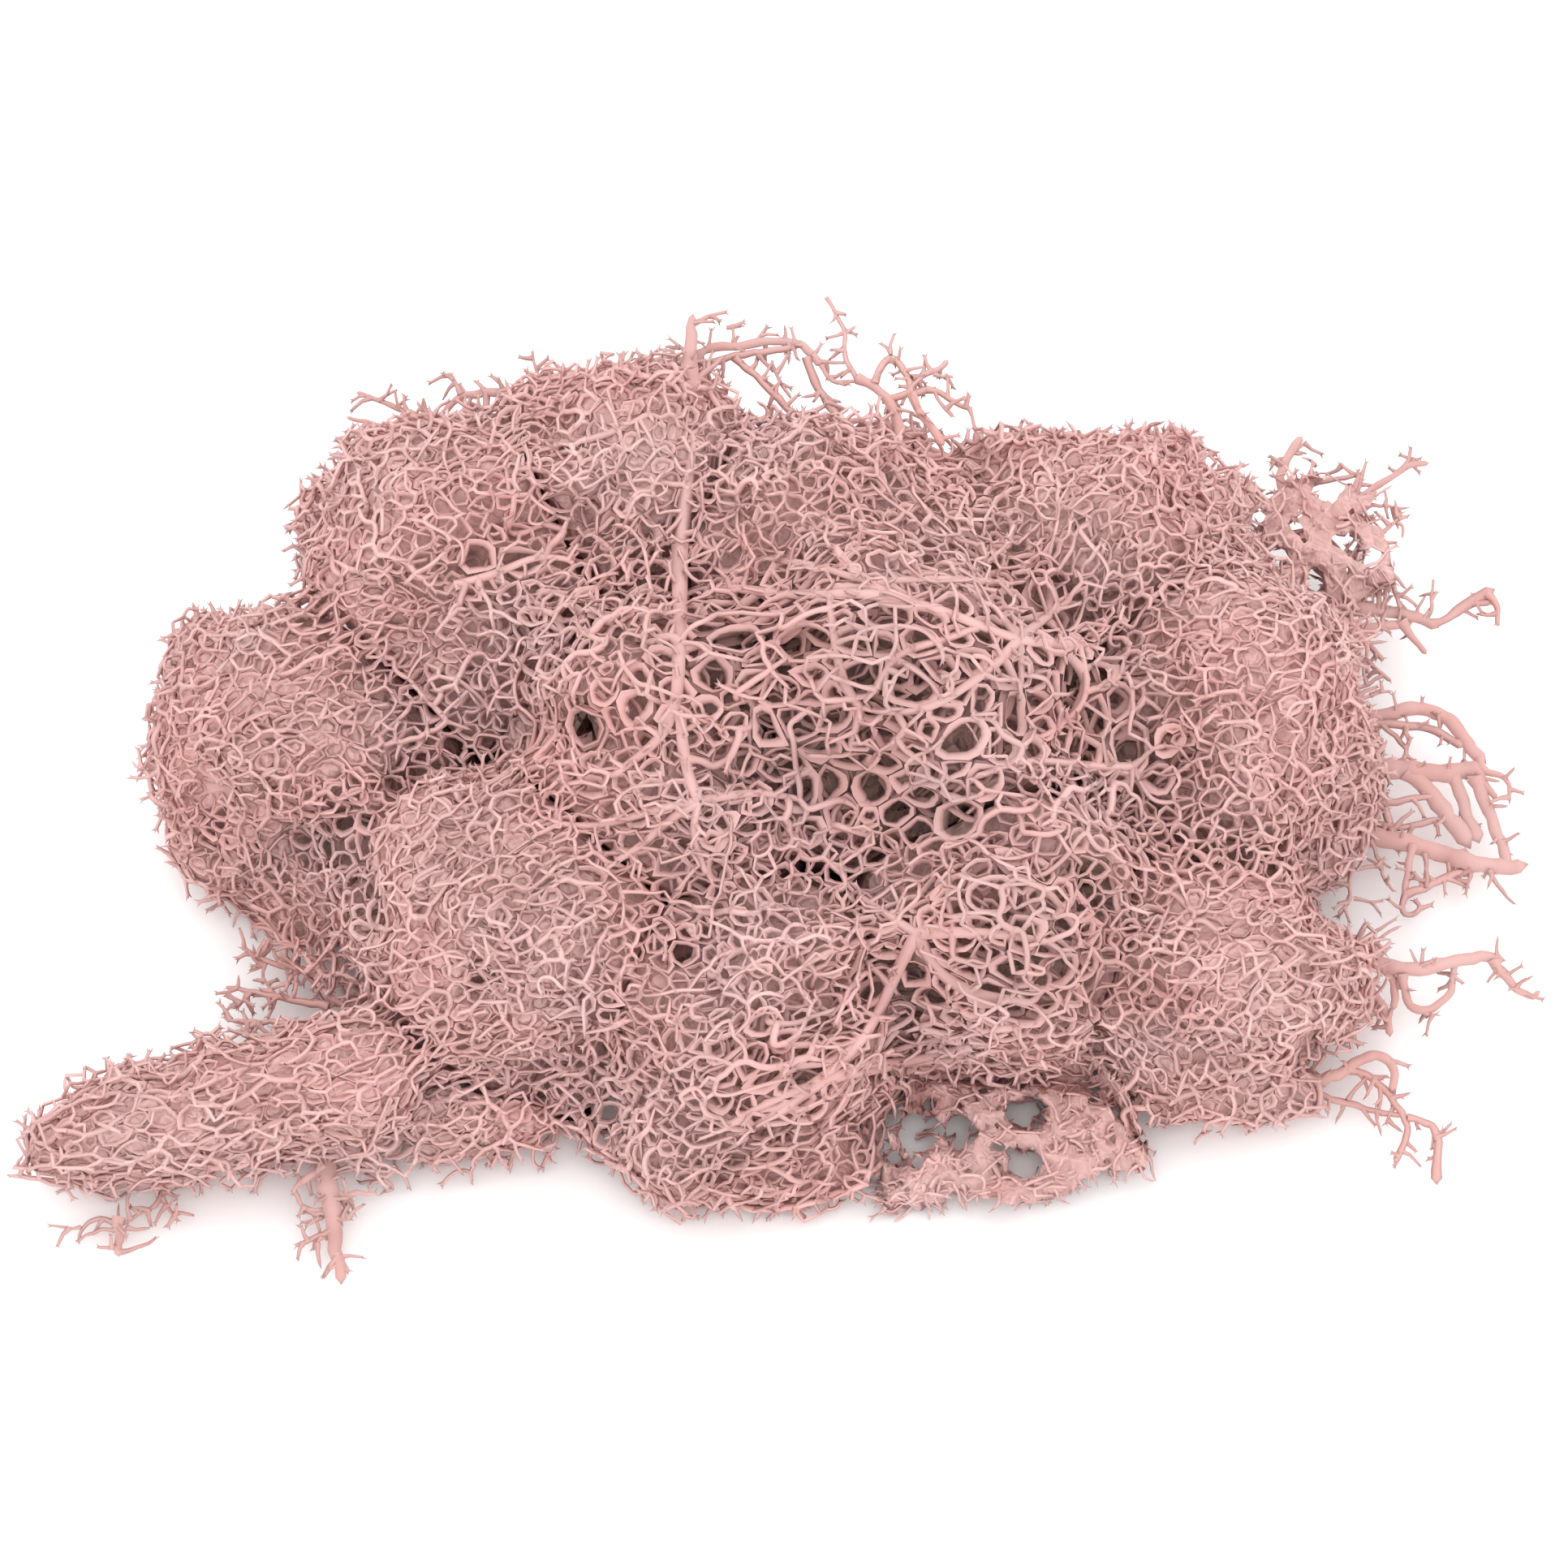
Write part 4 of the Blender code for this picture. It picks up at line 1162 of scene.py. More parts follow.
class Cells:
    """Rims round the holes of a web, gathered a piece at a time."""

    def __init__(self):
        self.corners = []
        self.quads = []
        self.depths = []
        self.used = 0

    def add(self, rings, depths):
        """Rings of corners, the ridge first, for each cell: cells, rings, sides, 3."""
        cells, levels, sides = rings.shape[:3]
        first = self.used + np.arange(cells)[:, None, None] * levels * sides
        ring = first + np.arange(levels - 1)[None, :, None] * sides
        here = np.arange(sides)[None, None]
        after = (here + 1) % sides
        quads = np.stack([ring + here, ring + after, ring + sides + after, ring + sides + here], axis=-1)
        self.corners.append(rings.reshape(-1, 3))
        self.quads.append(quads.reshape(-1, 4))
        self.depths.append(depths.reshape(-1))
        self.used += cells * levels * sides


def thinned(points, sizes):
    """Which of the points stay, so that none is nearer to an earlier one than both their sizes allow."""
    reach = float(sizes.max()) * 2
    buckets = {}
    kept = []
    rows = points.tolist()
    around = list(product((-1, 0, 1), repeat=3))
    for index, point in enumerate(rows):
        cell = tuple(int(value // reach) for value in point)
        nearby = []
        for i, j, k in around:
            nearby += buckets.get((cell[0] + i, cell[1] + j, cell[2] + k), ())
        if all(math.dist(rows[other], point) >= sizes[index] + sizes[other] for other in nearby):
            buckets.setdefault(cell, []).append(index)
            kept.append(index)
    return np.array(kept, int)


def cell_shape(at, sizes, along, across, stretch, widths, sides):
    """How far each cell and its hole reach on each of its sides, both in the cell's own stretched measure."""
    others = nearest_of(at, tree_of(at), min(CELL_NEIGHBOURS, len(at)))[0]
    offset = at[others] - at[:, None]
    x = (offset * along[:, None]).sum(axis=2) / stretch[:, None]
    y = (offset * across[:, None]).sum(axis=2)
    square = x**2 + y**2
    middle = np.maximum((square + sizes[:, None] ** 2 - sizes[others] ** 2) / 2, LEAST_SHARE * square)
    turn = (np.arange(sides) * 2 * np.pi) / sides
    toward = x[..., None] * np.cos(turn) + y[..., None] * np.sin(turn)
    inverse = np.maximum(toward, 1e-6) / middle[..., None]
    reach = 1 / np.maximum(inverse.max(axis=1), 1e-6)
    soft = 1 / np.maximum((inverse**SHARPNESS).sum(axis=1) ** (1 / SHARPNESS), 1e-6)
    reach = np.minimum(reach, (sizes * MOST_REACH)[:, None])
    soft = np.minimum(soft, (sizes * MOST_HOLE)[:, None])
    real = np.sqrt((stretch[:, None] * np.cos(turn)) ** 2 + np.sin(turn) ** 2)
    hole = np.maximum(soft - widths[:, None] / real, LEAST_SHARE * soft)
    return turn, reach, hole


def on_level(points, level):
    """The points, moved to this depth below the outer form."""
    for _ in range(2):
        lack = level - depth_field.at(points)
        points = points + depth_field.inward(points) * np.clip(lack, -1.5, 1.5)[:, None]
    return points


def cell_places(level, spacing, width, least, most, rng):
    """Where the cells of a layer are, and their sizes."""
    steps = np.repeat(np.argwhere(np.abs(depth_field.values - level) < LEVEL_BAND), CELL_TRIES, axis=0)
    points = depth_field.low + (steps + rng.uniform(-0.5, 0.5, steps.shape)) * VOXEL
    points = on_level(points, level)
    opened = openness(points)
    keep = (label_of(points) > 0) & (opened > least - OPEN_SLACK) & (opened <= most + OPEN_SLACK)
    keep &= np.abs(depth_field.at(points) - level) < LEVEL_SLACK
    points = points[keep]
    points = points[rng.permutation(len(points))]
    sizes = spacing / 2 * rng.uniform(*CELL_SIZES, len(points))
    if level < 1:
        spots, found = on_surface(WEB_CELLS, level)
        shapes = np.array([cell[2:] for cell in WEB_CELLS], float)
        spot_sizes = np.sqrt(shapes[:, 0] * shapes[:, 1]) * VIEW_SCALE / 2 + width
        points = np.concatenate([spots[found], points])
        sizes = np.concatenate([spot_sizes[found], sizes])
    kept = thinned(points, sizes * CELL_SHARE)
    return points[kept], sizes[kept]


def add_web(gathered, layer, rng):
    """One layer of web, where the strands are as open as the layer asks."""
    level, spacing, width, sides, least, most = layer
    points, sizes = cell_places(level, spacing, width, least, most, rng)
    inward = depth_field.inward(points)
    grain = grain_at(points, inward)
    pull = np.linalg.norm(grain, axis=1)
    level_way = unit(np.cross(np.cross(inward, RIGHT), inward) + 1e-6)
    chance = unit(np.cross(inward, rng.normal(size=points.shape)))
    along = unit(grain + CHANCE_PULL * level_way + CHANCE_PULL * chance)
    along = unit(square_to(along, inward))
    across = np.cross(inward, along)
    stretch = 1 + CELL_STRETCH * np.clip(pull + ADDED_PULL, 0, 1) * rng.uniform(*STRETCHES, len(points))
    widths = width * rng.uniform(*RIM_WIDTHS, len(points))
    turn, reach, hole = cell_shape(points, sizes, along, across, stretch, widths, sides)
    labels = label_of(points)
    opened = openness(points)
    own = (labels > 0) & (labels <= len(TUFTS)) & (opened > least) & (opened <= most)
    own &= (inward[:, 2] < WEB_UNDERSIDE) & (~in_hollow(points) | (level < 1))
    points, along, across, stretch, widths, reach, hole, labels = (
        values[own] for values in (points, along, across, stretch, widths, reach, hole, labels)
    )
    bend = rng.uniform(0, 6.3, (len(points), 1))
    hole = hole * (1 - HOLE_WOBBLE * rng.uniform(0, 1, (len(points), 1)) * (1 + np.sin(turn * 2 + bend)))
    rings, depths = [], []
    thick = np.clip(widths, *RIM_THICKNESS)
    for share, drop in FINE_SECTION if sides > 9 else PLAIN_SECTION:
        far = reach + (hole - reach) * share
        x = far * np.cos(turn) * stretch[:, None]
        y = far * np.sin(turn)
        place = points[:, None] + along[:, None] * x[..., None] + across[:, None] * y[..., None]
        flat = place.reshape(-1, 3)
        settled = on_level(flat, level)
        sunk = np.repeat(thick, sides) * drop
        moved = settled + depth_field.inward(settled) * sunk[:, None] - flat
        length = np.linalg.norm(moved, axis=1, keepdims=True)
        settled = flat + moved * np.minimum(1, MOST_SETTLING / np.maximum(length, 1e-6))
        settled[:, 2] = np.maximum(settled[:, 2], LOWEST_RIM)
        rings.append(settled.reshape(len(points), sides, 3))
        # The colour's depth grows towards the hole half as much again as the rim drops, as painted shade
        depths.append(np.full((len(points), sides), level) + drop * thick[:, None] * 1.5)
    rings = np.stack(rings, axis=1)
    depths = np.stack(depths, axis=1)
    for label in np.unique(labels):
        gathered[label - 1].add(rings[labels == label], depths[labels == label])


def blended(values, whole, part):
    """The values of a flat grid, read between its points: whole steps, and the part of the next."""
    i, j = whole[:, 0], whole[:, 1]
    left = values[i, j] * (1 - part[:, 1]) + values[i, j + 1] * part[:, 1]
    right = values[i + 1, j] * (1 - part[:, 1]) + values[i + 1, j + 1] * part[:, 1]
    return left * (1 - part[:, 0]) + right * part[:, 0]


# How far past its solid a net's relief reaches, in pixels and in rounds of filling, and in mm the height of
# the mat where it runs on past its solid
RELIEF_MARGIN = 60
RELIEF_ROUNDS = 24
RELIEF_GROUND = 1.2

# The mat runs on at its back by this many steps, and it climbs there: by how many mm, over how many pixels
MAT_RUN_STEPS = 7
MAT_CLIMB = 6.5
MAT_CLIMB_PIXELS = 75.0


class Relief:
    """The upper side of a thin piece as the view shows it: heights over the picture."""

    STEP = 6.0

    def __init__(self, name):
        corners, triangles = mesh_of(name)
        surface = BVHTree.FromPolygons(corners.tolist(), triangles.tolist())
        pixels = pixels_of(corners)
        self.low = pixels.min(axis=0) - RELIEF_MARGIN
        size = np.ceil((pixels.max(axis=0) + RELIEF_MARGIN - self.low) / self.STEP).astype(int) + 1
        ways = ray_ways(self.low + grid_of(size) * self.STEP)
        heights = np.zeros(len(ways))
        start = Vector(EYE)
        for index, way in enumerate(ways.tolist()):
            hit = surface.ray_cast(start, Vector(way))[0]
            heights[index] = hit.z if hit is not None else -1.0
        clear = in_ovals(EYE + ways * VIEW_DISTANCE, CLEARINGS, 1.0).reshape(size)
        heights = heights.reshape(size)
        self.inside = heights > -0.5
        if name == MAT:
            for step in range(1, MAT_RUN_STEPS + 1):
                self.inside[:, :-step] |= heights[:, step:] > -0.5
        heights[self.inside & (heights < 0)] = RELIEF_GROUND
        self.inside &= ~clear
        filled = np.where(self.inside, heights, 0.0)
        weight = self.inside.astype(float)
        for _ in range(RELIEF_ROUNDS):
            total, number = filled * weight, weight
            spread_total, spread_number = total.copy(), number.copy()
            for axis, way in product((0, 1), (-1, 1)):
                spread_total += np.roll(total, way, axis)
                spread_number += np.roll(number, way, axis)
            empty = (weight == 0) & (spread_number > 0)
            filled[empty] = spread_total[empty] / spread_number[empty]
            weight[empty] = 1.0
        if name == MAT:
            row = np.arange(size[1])[None]
            first = np.where(self.inside.any(axis=1), self.inside.argmax(axis=1), 0)[:, None]
            climb = np.clip(1 - (row - first) * self.STEP / MAT_CLIMB_PIXELS, 0, 1)
            filled = filled + MAT_CLIMB * climb**1.5
        self.heights = filled
        self.edge = (distance_from(~self.inside) - distance_from(self.inside)) * self.STEP

    def read(self, values, pixels):
        """The grid's values at these pixels."""
        at = np.clip((pixels - self.low) / self.STEP, 0, np.array(self.heights.shape) - 1.001)
        whole = at.astype(int)
        return blended(values, whole, at - whole)

    def place(self, pixels, lift):
        """The points at these pixels, this high over the piece, or over its nearest edge."""
        return at_height(ray_ways(pixels), self.read(self.heights, pixels) + lift)


# The nets' strands: how many, which way they run in radians, how that varies and how they bend at a step,
# their step in pixels, how high they lie on the relief in mm, the share that may cross a hole, how flat
# they are, their radii in mm at both ends, how high they wave, how far in from the edge they start, end and
# fork in pixels, and the lowest point in mm
FELT_STRANDS = {MAT: 300, NET: 150}
FELT_HEADING = {MAT: -0.25, NET: 0.5}
FELT_HEADINGS = 0.75
FELT_BEND = 0.45
FELT_STEP = 10.0
FELT_LIFT = -0.42
FELT_CROSSING = 0.13
FELT_FLATNESS = 0.75
FELT_ROOTS = (0.2, 0.34)
FELT_ENDS = (0.13, 0.18)
FELT_WAVE = 0.25
FELT_INSIDE = 6
FELT_OUTSIDE = -7
FELT_FORKED = 5
LOWEST_FELT = 0.25

# The nets' films: grid step in pixels, thickness and lift in mm, margin and width of the thin edge in
# pixels, the depth that sets the colour and how much a fold's height takes from it as painted light on the
# crests and painted shade in the dips, and the small holes
SHEET_STEP = 5.0
SHEET_THICKNESS = 0.5
SHEET_LIFT = -0.6
SHEET_MARGIN = 12
SHEET_THIN_EDGE = 9.0
SHEET_DEPTH = 5.0
FOLD_SHADE = 6.0
SMALL_HOLES = {MAT: 120, NET: 90}
HOLE_RADII = (2.5, 6.0)
HOLE_SHAPES = (0.6, 1.3)

# How a film's outline wanders, in pixels: how far and in lumps how big it sways, how far and in lumps how big
# its edge moves, and by how much the film is smaller
OUTLINE_SWAY = (7.0, 19.0)
EDGE_LUMPS = ((9.0, 34.0), (5.0, 13.0))
EDGE_INSET = 3.0

# Folds and wrinkles of the films: height in mm, and size in pixels
FOLDS = [(0.3, 26.0), (0.22, 12.0)]
WRINKLES = (0.1, 6.0)


def cloud(pixels, size, rng):
    """Soft noise over the picture, -1 to 1, with lumps of this many pixels."""
    at = (pixels - pixels.min(axis=0)) / size
    whole = at.astype(int)
    part = at - whole
    return blended(rng.uniform(-1, 1, whole.max(axis=0) + 2), whole, part * part * (3 - 2 * part))


def room_in(relief, pixels, name, rng):
    """How far inside the film each pixel is, away from its edge and its holes, and less than 0 outside it."""
    sway, lump = OUTLINE_SWAY
    swayed = pixels + sway * np.stack([cloud(pixels, lump, rng), cloud(pixels, lump, rng)], axis=1)
    room = relief.read(relief.edge, swayed)
    for move, lump in EDGE_LUMPS:
        room = room + move * cloud(pixels, lump, rng)
    room = room - EDGE_INSET
    for px, py, wide, high in GAPS:
        across = (swayed[:, 0] - px) / (wide / 2)
        above = (swayed[:, 1] - py) / (high / 2)
        room = np.minimum(room, (np.hypot(across, above) - 1) * min(wide, high) / 2)
    low, high = pixels.min(axis=0), pixels.max(axis=0)
    for _ in range(SMALL_HOLES[name]):
        px, py = rng.uniform(low, high)
        radius = rng.uniform(*HOLE_RADII)
        tall = rng.uniform(*HOLE_SHAPES)
        room = np.minimum(room, np.hypot(swayed[:, 0] - px, (swayed[:, 1] - py) / tall) - radius)
    return room


def crosses_gap(route):
    """Whether a route in the picture runs over a hole of a net."""
    return any(
        (np.hypot((route[:, 0] - px) / wide, (route[:, 1] - py) / tall) < 0.55).any()
        for px, py, wide, tall in GAPS
    )


def add_felt(relief, name, strands, rng):
    """Strands that run through a film, cross its holes and stand out of its edge."""
    low = relief.low + RELIEF_MARGIN
    high = low + (np.array(relief.heights.shape) - 1) * relief.STEP - 2 * RELIEF_MARGIN
    for _ in range(FELT_STRANDS[name]):
        at = rng.uniform(low, high)
        if relief.read(relief.edge, at[None])[0] < FELT_INSIDE:
            continue
        heading = rng.normal(FELT_HEADING[name], FELT_HEADINGS)
        if rng.uniform() < 0.5:
            heading += np.pi
        route = [at]
        for _ in range(rng.integers(3, 9)):
            heading += rng.normal(0, FELT_BEND)
            at = at + FELT_STEP * np.array((np.cos(heading), np.sin(heading)))
            route.append(at)
            if relief.read(relief.edge, at[None])[0] < FELT_OUTSIDE:
                break
        route = np.array(route)
        if crosses_gap(route) and rng.uniform() > FELT_CROSSING:
            continue
        wave = np.arange(len(route)) * rng.uniform(0.6, 1.4) + rng.uniform(0, 6)
        points = relief.place(route, FELT_LIFT + FELT_WAVE * np.sin(wave))
        points[:, 2] = np.maximum(points[:, 2], LOWEST_FELT)
        radii = np.linspace(rng.uniform(*FELT_ROOTS), rng.uniform(*FELT_ENDS), len(points))
        body, wide, level = halved(points, radii, np.full(len(points), FELT_FLATNESS))
        way = unit(body[-1] - body[-2])
        tip = body[-1] + way * 0.5
        tip[2] = max(tip[2], 0.2)
        tone = rng.uniform(0.2, 1.0)
        strands.add(body, tip, wide, level, tone)
        if relief.read(relief.edge, route[-1:])[0] < FELT_FORKED and rng.uniform() < 0.5:
            add_prongs(strands, body[-1], way, wide[-1], tone, rng, PRONG_LENGTH)


def faces_inside(held, size):
    """The triangles of a flat grid whose corners are all held."""
    number = np.arange(len(held)).reshape(size)
    ring = [part.ravel() for part in (number[:-1, :-1], number[1:, :-1], number[1:, 1:], number[:-1, 1:])]
    triangles = []
    for turn in range(4):
        one, two, three, four = ring[turn:] + ring[:turn]
        single = held[one] & held[two] & held[three] & ~held[four]
        triangles.append(np.stack([one, two, three], axis=1)[single])
    a, b, c, d = ring
    full = held[a] & held[b] & held[c] & held[d]
    triangles.append(np.stack([a, b, c], axis=1)[full])
    triangles.append(np.stack([a, c, d], axis=1)[full])
    return np.concatenate(triangles)


def sheet_of(name, strands, rng):
    """A net as the film that the photograph shows, with its holes. Corners, triangles and depths."""
    relief = Relief(name)
    add_felt(relief, name, strands, rng)
    box = np.argwhere(relief.inside)
    low = relief.low + box.min(axis=0) * relief.STEP - SHEET_MARGIN
    high = relief.low + box.max(axis=0) * relief.STEP + SHEET_MARGIN
    size = ((high - low) / SHEET_STEP).astype(int) + 1
    pixels = low + grid_of(size) * SHEET_STEP
    room = room_in(relief, pixels, name, rng)
    slope = np.stack(np.gradient(room.reshape(size), SHEET_STEP), axis=-1).reshape(-1, 2)
    close = np.abs(room) < 0.6 * SHEET_STEP
    steep = np.maximum((slope**2).sum(axis=1, keepdims=True), 0.3)
    pixels = np.where(close[:, None], pixels - room[:, None] * slope / steep, pixels)
    room = np.where(close, 0.0, room)
    folds = sum(tall * (1 - 2 * np.abs(cloud(pixels, wide, rng))) for tall, wide in FOLDS)
    folds = folds + WRINKLES[0] * cloud(pixels, WRINKLES[1], rng)
    thick = SHEET_THICKNESS * np.clip(room / SHEET_THIN_EDGE, 0, 1)
    lift = SHEET_LIFT + folds
    faces = faces_inside(room >= 0, size)
    used = np.unique(faces)
    place = np.full(len(pixels), -1)
    place[used] = np.arange(len(used))
    faces = place[faces]
    top = relief.place(pixels, lift + thick / 2)[used]
    under = relief.place(pixels, lift - thick / 2)[used]
    corners = np.concatenate([top, under])
    corners[:, 2] = np.maximum(corners[:, 2], 0.05)
    both = np.concatenate([faces[:, ::-1], faces + len(used)])
    # The colour's depth: painted light on the folds' crests and painted shade in their dips
    return corners, both, np.full(len(corners), SHEET_DEPTH) - FOLD_SHADE * np.tile(folds[used], 2)


# How deep in the outer form the tufts' matted hearts lie, in mm: closed, how much more where open, and in a
# hollow, and the least and the share of the tuft's own depth that it may be. Then the steps that draw them
# in, how uneven they are, in waves of so many radians to a mm and by chance, and their lowest corner.
CORE_DEPTH = 0.8
OPEN_CORE_DEPTH = 5.8
CORE_HOLLOW_DEPTH = 9.0
LEAST_DEEPEST = 1.5
DEEPEST_SHARE = 0.6
CORE_STEPS = 14
CORE_BUMP = 0.35
CORE_WAVES = (1.9, 2.3, 2.1)
CORE_CHANCE = 0.45
LOWEST_CORE = 0.8


def core_of(name, rng):
    """The matted heart of a tuft, its solid drawn in below the strands. Corners, triangles and depths."""
    corners, triangles = mesh_of(name)
    mesh = bpy.data.meshes.new("core")
    mesh.from_pydata(corners.tolist(), [], triangles.tolist())
    body = bmesh.new()
    body.from_mesh(mesh)
    bmesh.ops.remove_doubles(body, verts=body.verts, dist=0.001)
    bmesh.ops.subdivide_edges(body, edges=body.edges[:], cuts=4, use_grid_fill=True, smooth=0.3)
    bmesh.ops.triangulate(body, faces=body.faces[:])
    axes = {"use_axis_x": True, "use_axis_y": True, "use_axis_z": True}
    bmesh.ops.smooth_vert(body, verts=body.verts, factor=0.5, **axes)
    body.to_mesh(mesh)
    body.free()
    corners, triangles = arrays_of(mesh)
    bpy.data.meshes.remove(mesh)
    deepest = depth_field.at(corners.mean(axis=0)[None])[0]
    waves = np.sin(corners * CORE_WAVES + (0, 1, 2))
    bump = waves[:, 0] * waves[:, 1] * waves[:, 2] + rng.uniform(-CORE_CHANCE, CORE_CHANCE, len(corners))
    most = max(LEAST_DEEPEST, deepest * DEEPEST_SHARE)
    for _ in range(CORE_STEPS):
        wanted = CORE_DEPTH + OPEN_CORE_DEPTH * openness(corners) ** 0.8 + CORE_BUMP * bump
        goal = np.where(in_hollow(corners, 1.15), CORE_HOLLOW_DEPTH, np.minimum(wanted, most))
        lack = np.clip(goal - depth_field.at(corners), 0, 1.2)
        corners = corners + depth_field.inward(corners) * lack[:, None] * 0.8
        corners[:, 2] = np.maximum(corners[:, 2], LOWEST_CORE)
    return corners, triangles, shade_depth(corners)


# The colour, from the tips to as deep as the colour goes, in mm: share of that depth, and colour. It darkens
# with depth partly as less dye and partly as painted shade.
DYE_AND_SHADE_DEPTH = 8.0
DYE_AND_SHADE = [
    (0.0, (0.67, 0.415, 0.395, 1)), (0.2, (0.66, 0.405, 0.385, 1)), (0.45, (0.60, 0.35, 0.33, 1)),
    (0.7, (0.50, 0.295, 0.265, 1)), (1.0, (0.35, 0.22, 0.185, 1)),
]
# Painted shade in the dips of the matted parts' cells
CREVICE_SHADE = (0.30, 0.20, 0.175, 1)


def moss_material(name):
    """Dusty pink, dyed unevenly, and brownish grey deep in the tangle, partly as less dye and partly as
    painted shade. Matted parts look like fine cells.
    """
    material = bpy.data.materials.new(name)
    material.use_nodes = True
    tree = material.node_tree

    def add(kind, inputs, **settings):
        """A node, with a number, a colour or another node's output at each of these inputs."""
        node = tree.nodes.new("ShaderNode" + kind)
        for setting, value in settings.items():
            setattr(node, setting, value)
        feed(node, inputs)
        return node

    def feed(node, inputs):
        for title, value in inputs.items():
            if isinstance(value, bpy.types.NodeSocket):
                tree.links.new(value, node.inputs[title])
            else:
                node.inputs[title].default_value = value

    def attribute(title):
        return add("Attribute", {}, attribute_name=title).outputs["Fac"]

    def ranged(value, to_low, to_high, low=0.0, high=1.0):
        limits = {"From Min": low, "From Max": high, "To Min": to_low, "To Max": to_high}
        return add("MapRange", {"Value": value, **limits}).outputs["Result"]

    def times(one, other):
        return add("Math", {0: one, 1: other}, operation="MULTIPLY").outputs["Value"]

    place = add("TexCoord", {}).outputs["Object"]
    opened = attribute("opened")
    matted = attribute("matted")
    patches = add("TexNoise", {"Vector": place, "Scale": 90.0, "Detail": 3.0}).outputs["Fac"]
    # The colour darkens with depth, more where the tangle is open, partly as less dye and partly as painted
    # shade
    reach = add("Math", {0: patches, 1: 1.5, 2: attribute("depth")}, operation="MULTIPLY_ADD")
    sunk = times(reach.outputs["Value"], ranged(opened, 0.45, 1.5))
    dye_and_shade = add("ValToRGB", {"Fac": ranged(sunk, 0.0, 1.0, high=DYE_AND_SHADE_DEPTH)})
    shades = dye_and_shade.color_ramp.elements
    shades[0].color = DYE_AND_SHADE[0][1]
    shades[1].color = DYE_AND_SHADE[-1][1]
    for share, colour in DYE_AND_SHADE[1:-1]:
        shades.new(share).color = colour
    bright = times(ranged(attribute("tone"), 0.9, 1.1), ranged(opened, 1.03, 0.9))
    dull = ranged(patches, 0.88, 1.1, 0.3, 0.7)
    colour = add("HueSaturation", {"Color": dye_and_shade.outputs["Color"], "Value": bright, "Saturation": dull})
    waves = add("TexNoise", {"Vector": place, "Scale": 700.0}).outputs["Color"]
    swayed = add("Mix", {"Factor": 0.0012, 4: place, 5: waves}, data_type="VECTOR").outputs[1]
    cells = add("TexVoronoi", {"Vector": swayed, "Scale": 560.0}, feature="DISTANCE_TO_EDGE")
    ridge = ranged(cells.outputs["Distance"], 0.0, 0.75, 0.02, 0.28)
    # Painted shade in the dips of the matted parts' cells, more where open
    crevice_shade = times(times(matted, ranged(opened, 0.4, 1.0)), ridge)
    shaded = add("Mix", {"Factor": crevice_shade, "A": colour.outputs["Color"], "B": CREVICE_SHADE}, data_type="RGBA")
    grain = add("TexNoise", {"Vector": place, "Scale": 3500.0, "Detail": 2.0}).outputs["Fac"]
    bump = add("Bump", {"Height": grain, "Strength": 0.35, "Distance": 0.0001}).outputs["Normal"]
    hollows = {"Height": times(ridge, matted), "Normal": bump, "Strength": 0.9, "Distance": 0.0004}
    normal = add("Bump", hollows, invert=True).outputs["Normal"]
    looks = {"Base Color": shaded.outputs["Result"], "Normal": normal}
    feed(tree.nodes["Principled BSDF"], {"Roughness": 0.85, "Specular IOR Level": 0.25, **looks})
    return material


def in_scene(name, data):
    """A new object of the scene with this data."""
    thing = bpy.data.objects.new(name, data)
    bpy.context.scene.collection.objects.link(thing)
    return thing


def add_piece(mesh, material, node):
    """Puts a piece's mesh in the place of its solid."""
    mesh.materials.append(material)
    piece = in_scene(mesh.name, mesh)
    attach(piece, "root")
    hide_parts(node)


# How many times its own width a branch may have where it leaves its parent
FLARE = 1.7

# The chance that a strand's end joins another strand, closed and how much more where open, how far it
# reaches in mm, and how far it may turn to it
LINK_CHANCE = 0.3
OPEN_LINK_CHANCE = 0.6
LINK_REACH = 2.6
LINK_TURN = -0.2

# How long the strands' tips are, closed and how much more where open, and their tines, in mm
TIP_LENGTH = 0.5
OPEN_TIP_LENGTH = 0.3
PRONG_LENGTH = 0.8


def link_of(tangle, joints, way):
    """The nearest joint ahead of a run's end that the run may join, or None."""
    last = joints[-1]
    for other, gap in zip(tangle.others[last], tangle.gaps[last]):
        if other not in joints and tangle.parent[other] != last and gap < LINK_REACH:
            if (unit(tangle.points[other] - tangle.points[last]) * way).sum() > LINK_TURN:
                return other
    return None


def fill_strands(tangle):
    """The strands of each piece."""
    rng = np.random.default_rng(SEED + 1)
    gathered = [Strands() for _ in MASSES]
    points = tangle.points
    for origin, run in chains_of(tangle):
        joints = ([origin] if origin >= 0 else []) + run
        labels = tangle.labels[run]
        if len(joints) < 2 or not (labels > 0).any():
            continue
        wide = tangle.radius[joints]
        level = tangle.flat[joints]
        if origin >= 0:
            wide[0] = min(wide[0], wide[1] * FLARE)
            level[0] = level[1]
        target = gathered[int(np.bincount(labels[labels > 0]).argmax()) - 1]
        tone = rng.uniform()
        end = points[run[-1]]
        opened = tangle.opened[run[-1]]
        way = unit(end - points[joints[-2]])
        link = None
        if rng.uniform() < LINK_CHANCE + OPEN_LINK_CHANCE * opened:
            link = link_of(tangle, joints, way)
        places, wide, level = halved(points[joints], wide, level)
        if link is not None:
            beyond = points[link] + unit(points[link] - end) * 0.1
            places = np.concatenate([places, points[link][None]])
            target.add(places, beyond, np.append(wide, wide[-1]), np.append(level, level[-1]), tone)
        else:
            tip = end + way * (TIP_LENGTH + OPEN_TIP_LENGTH * opened)
            tip[2] = max(tip[2], LOWEST_TIP)
            target.add(places, tip, wide, level, tone)
            add_prongs(target, end, way, wide[-1], tone, rng, PRONG_LENGTH)
    return gathered


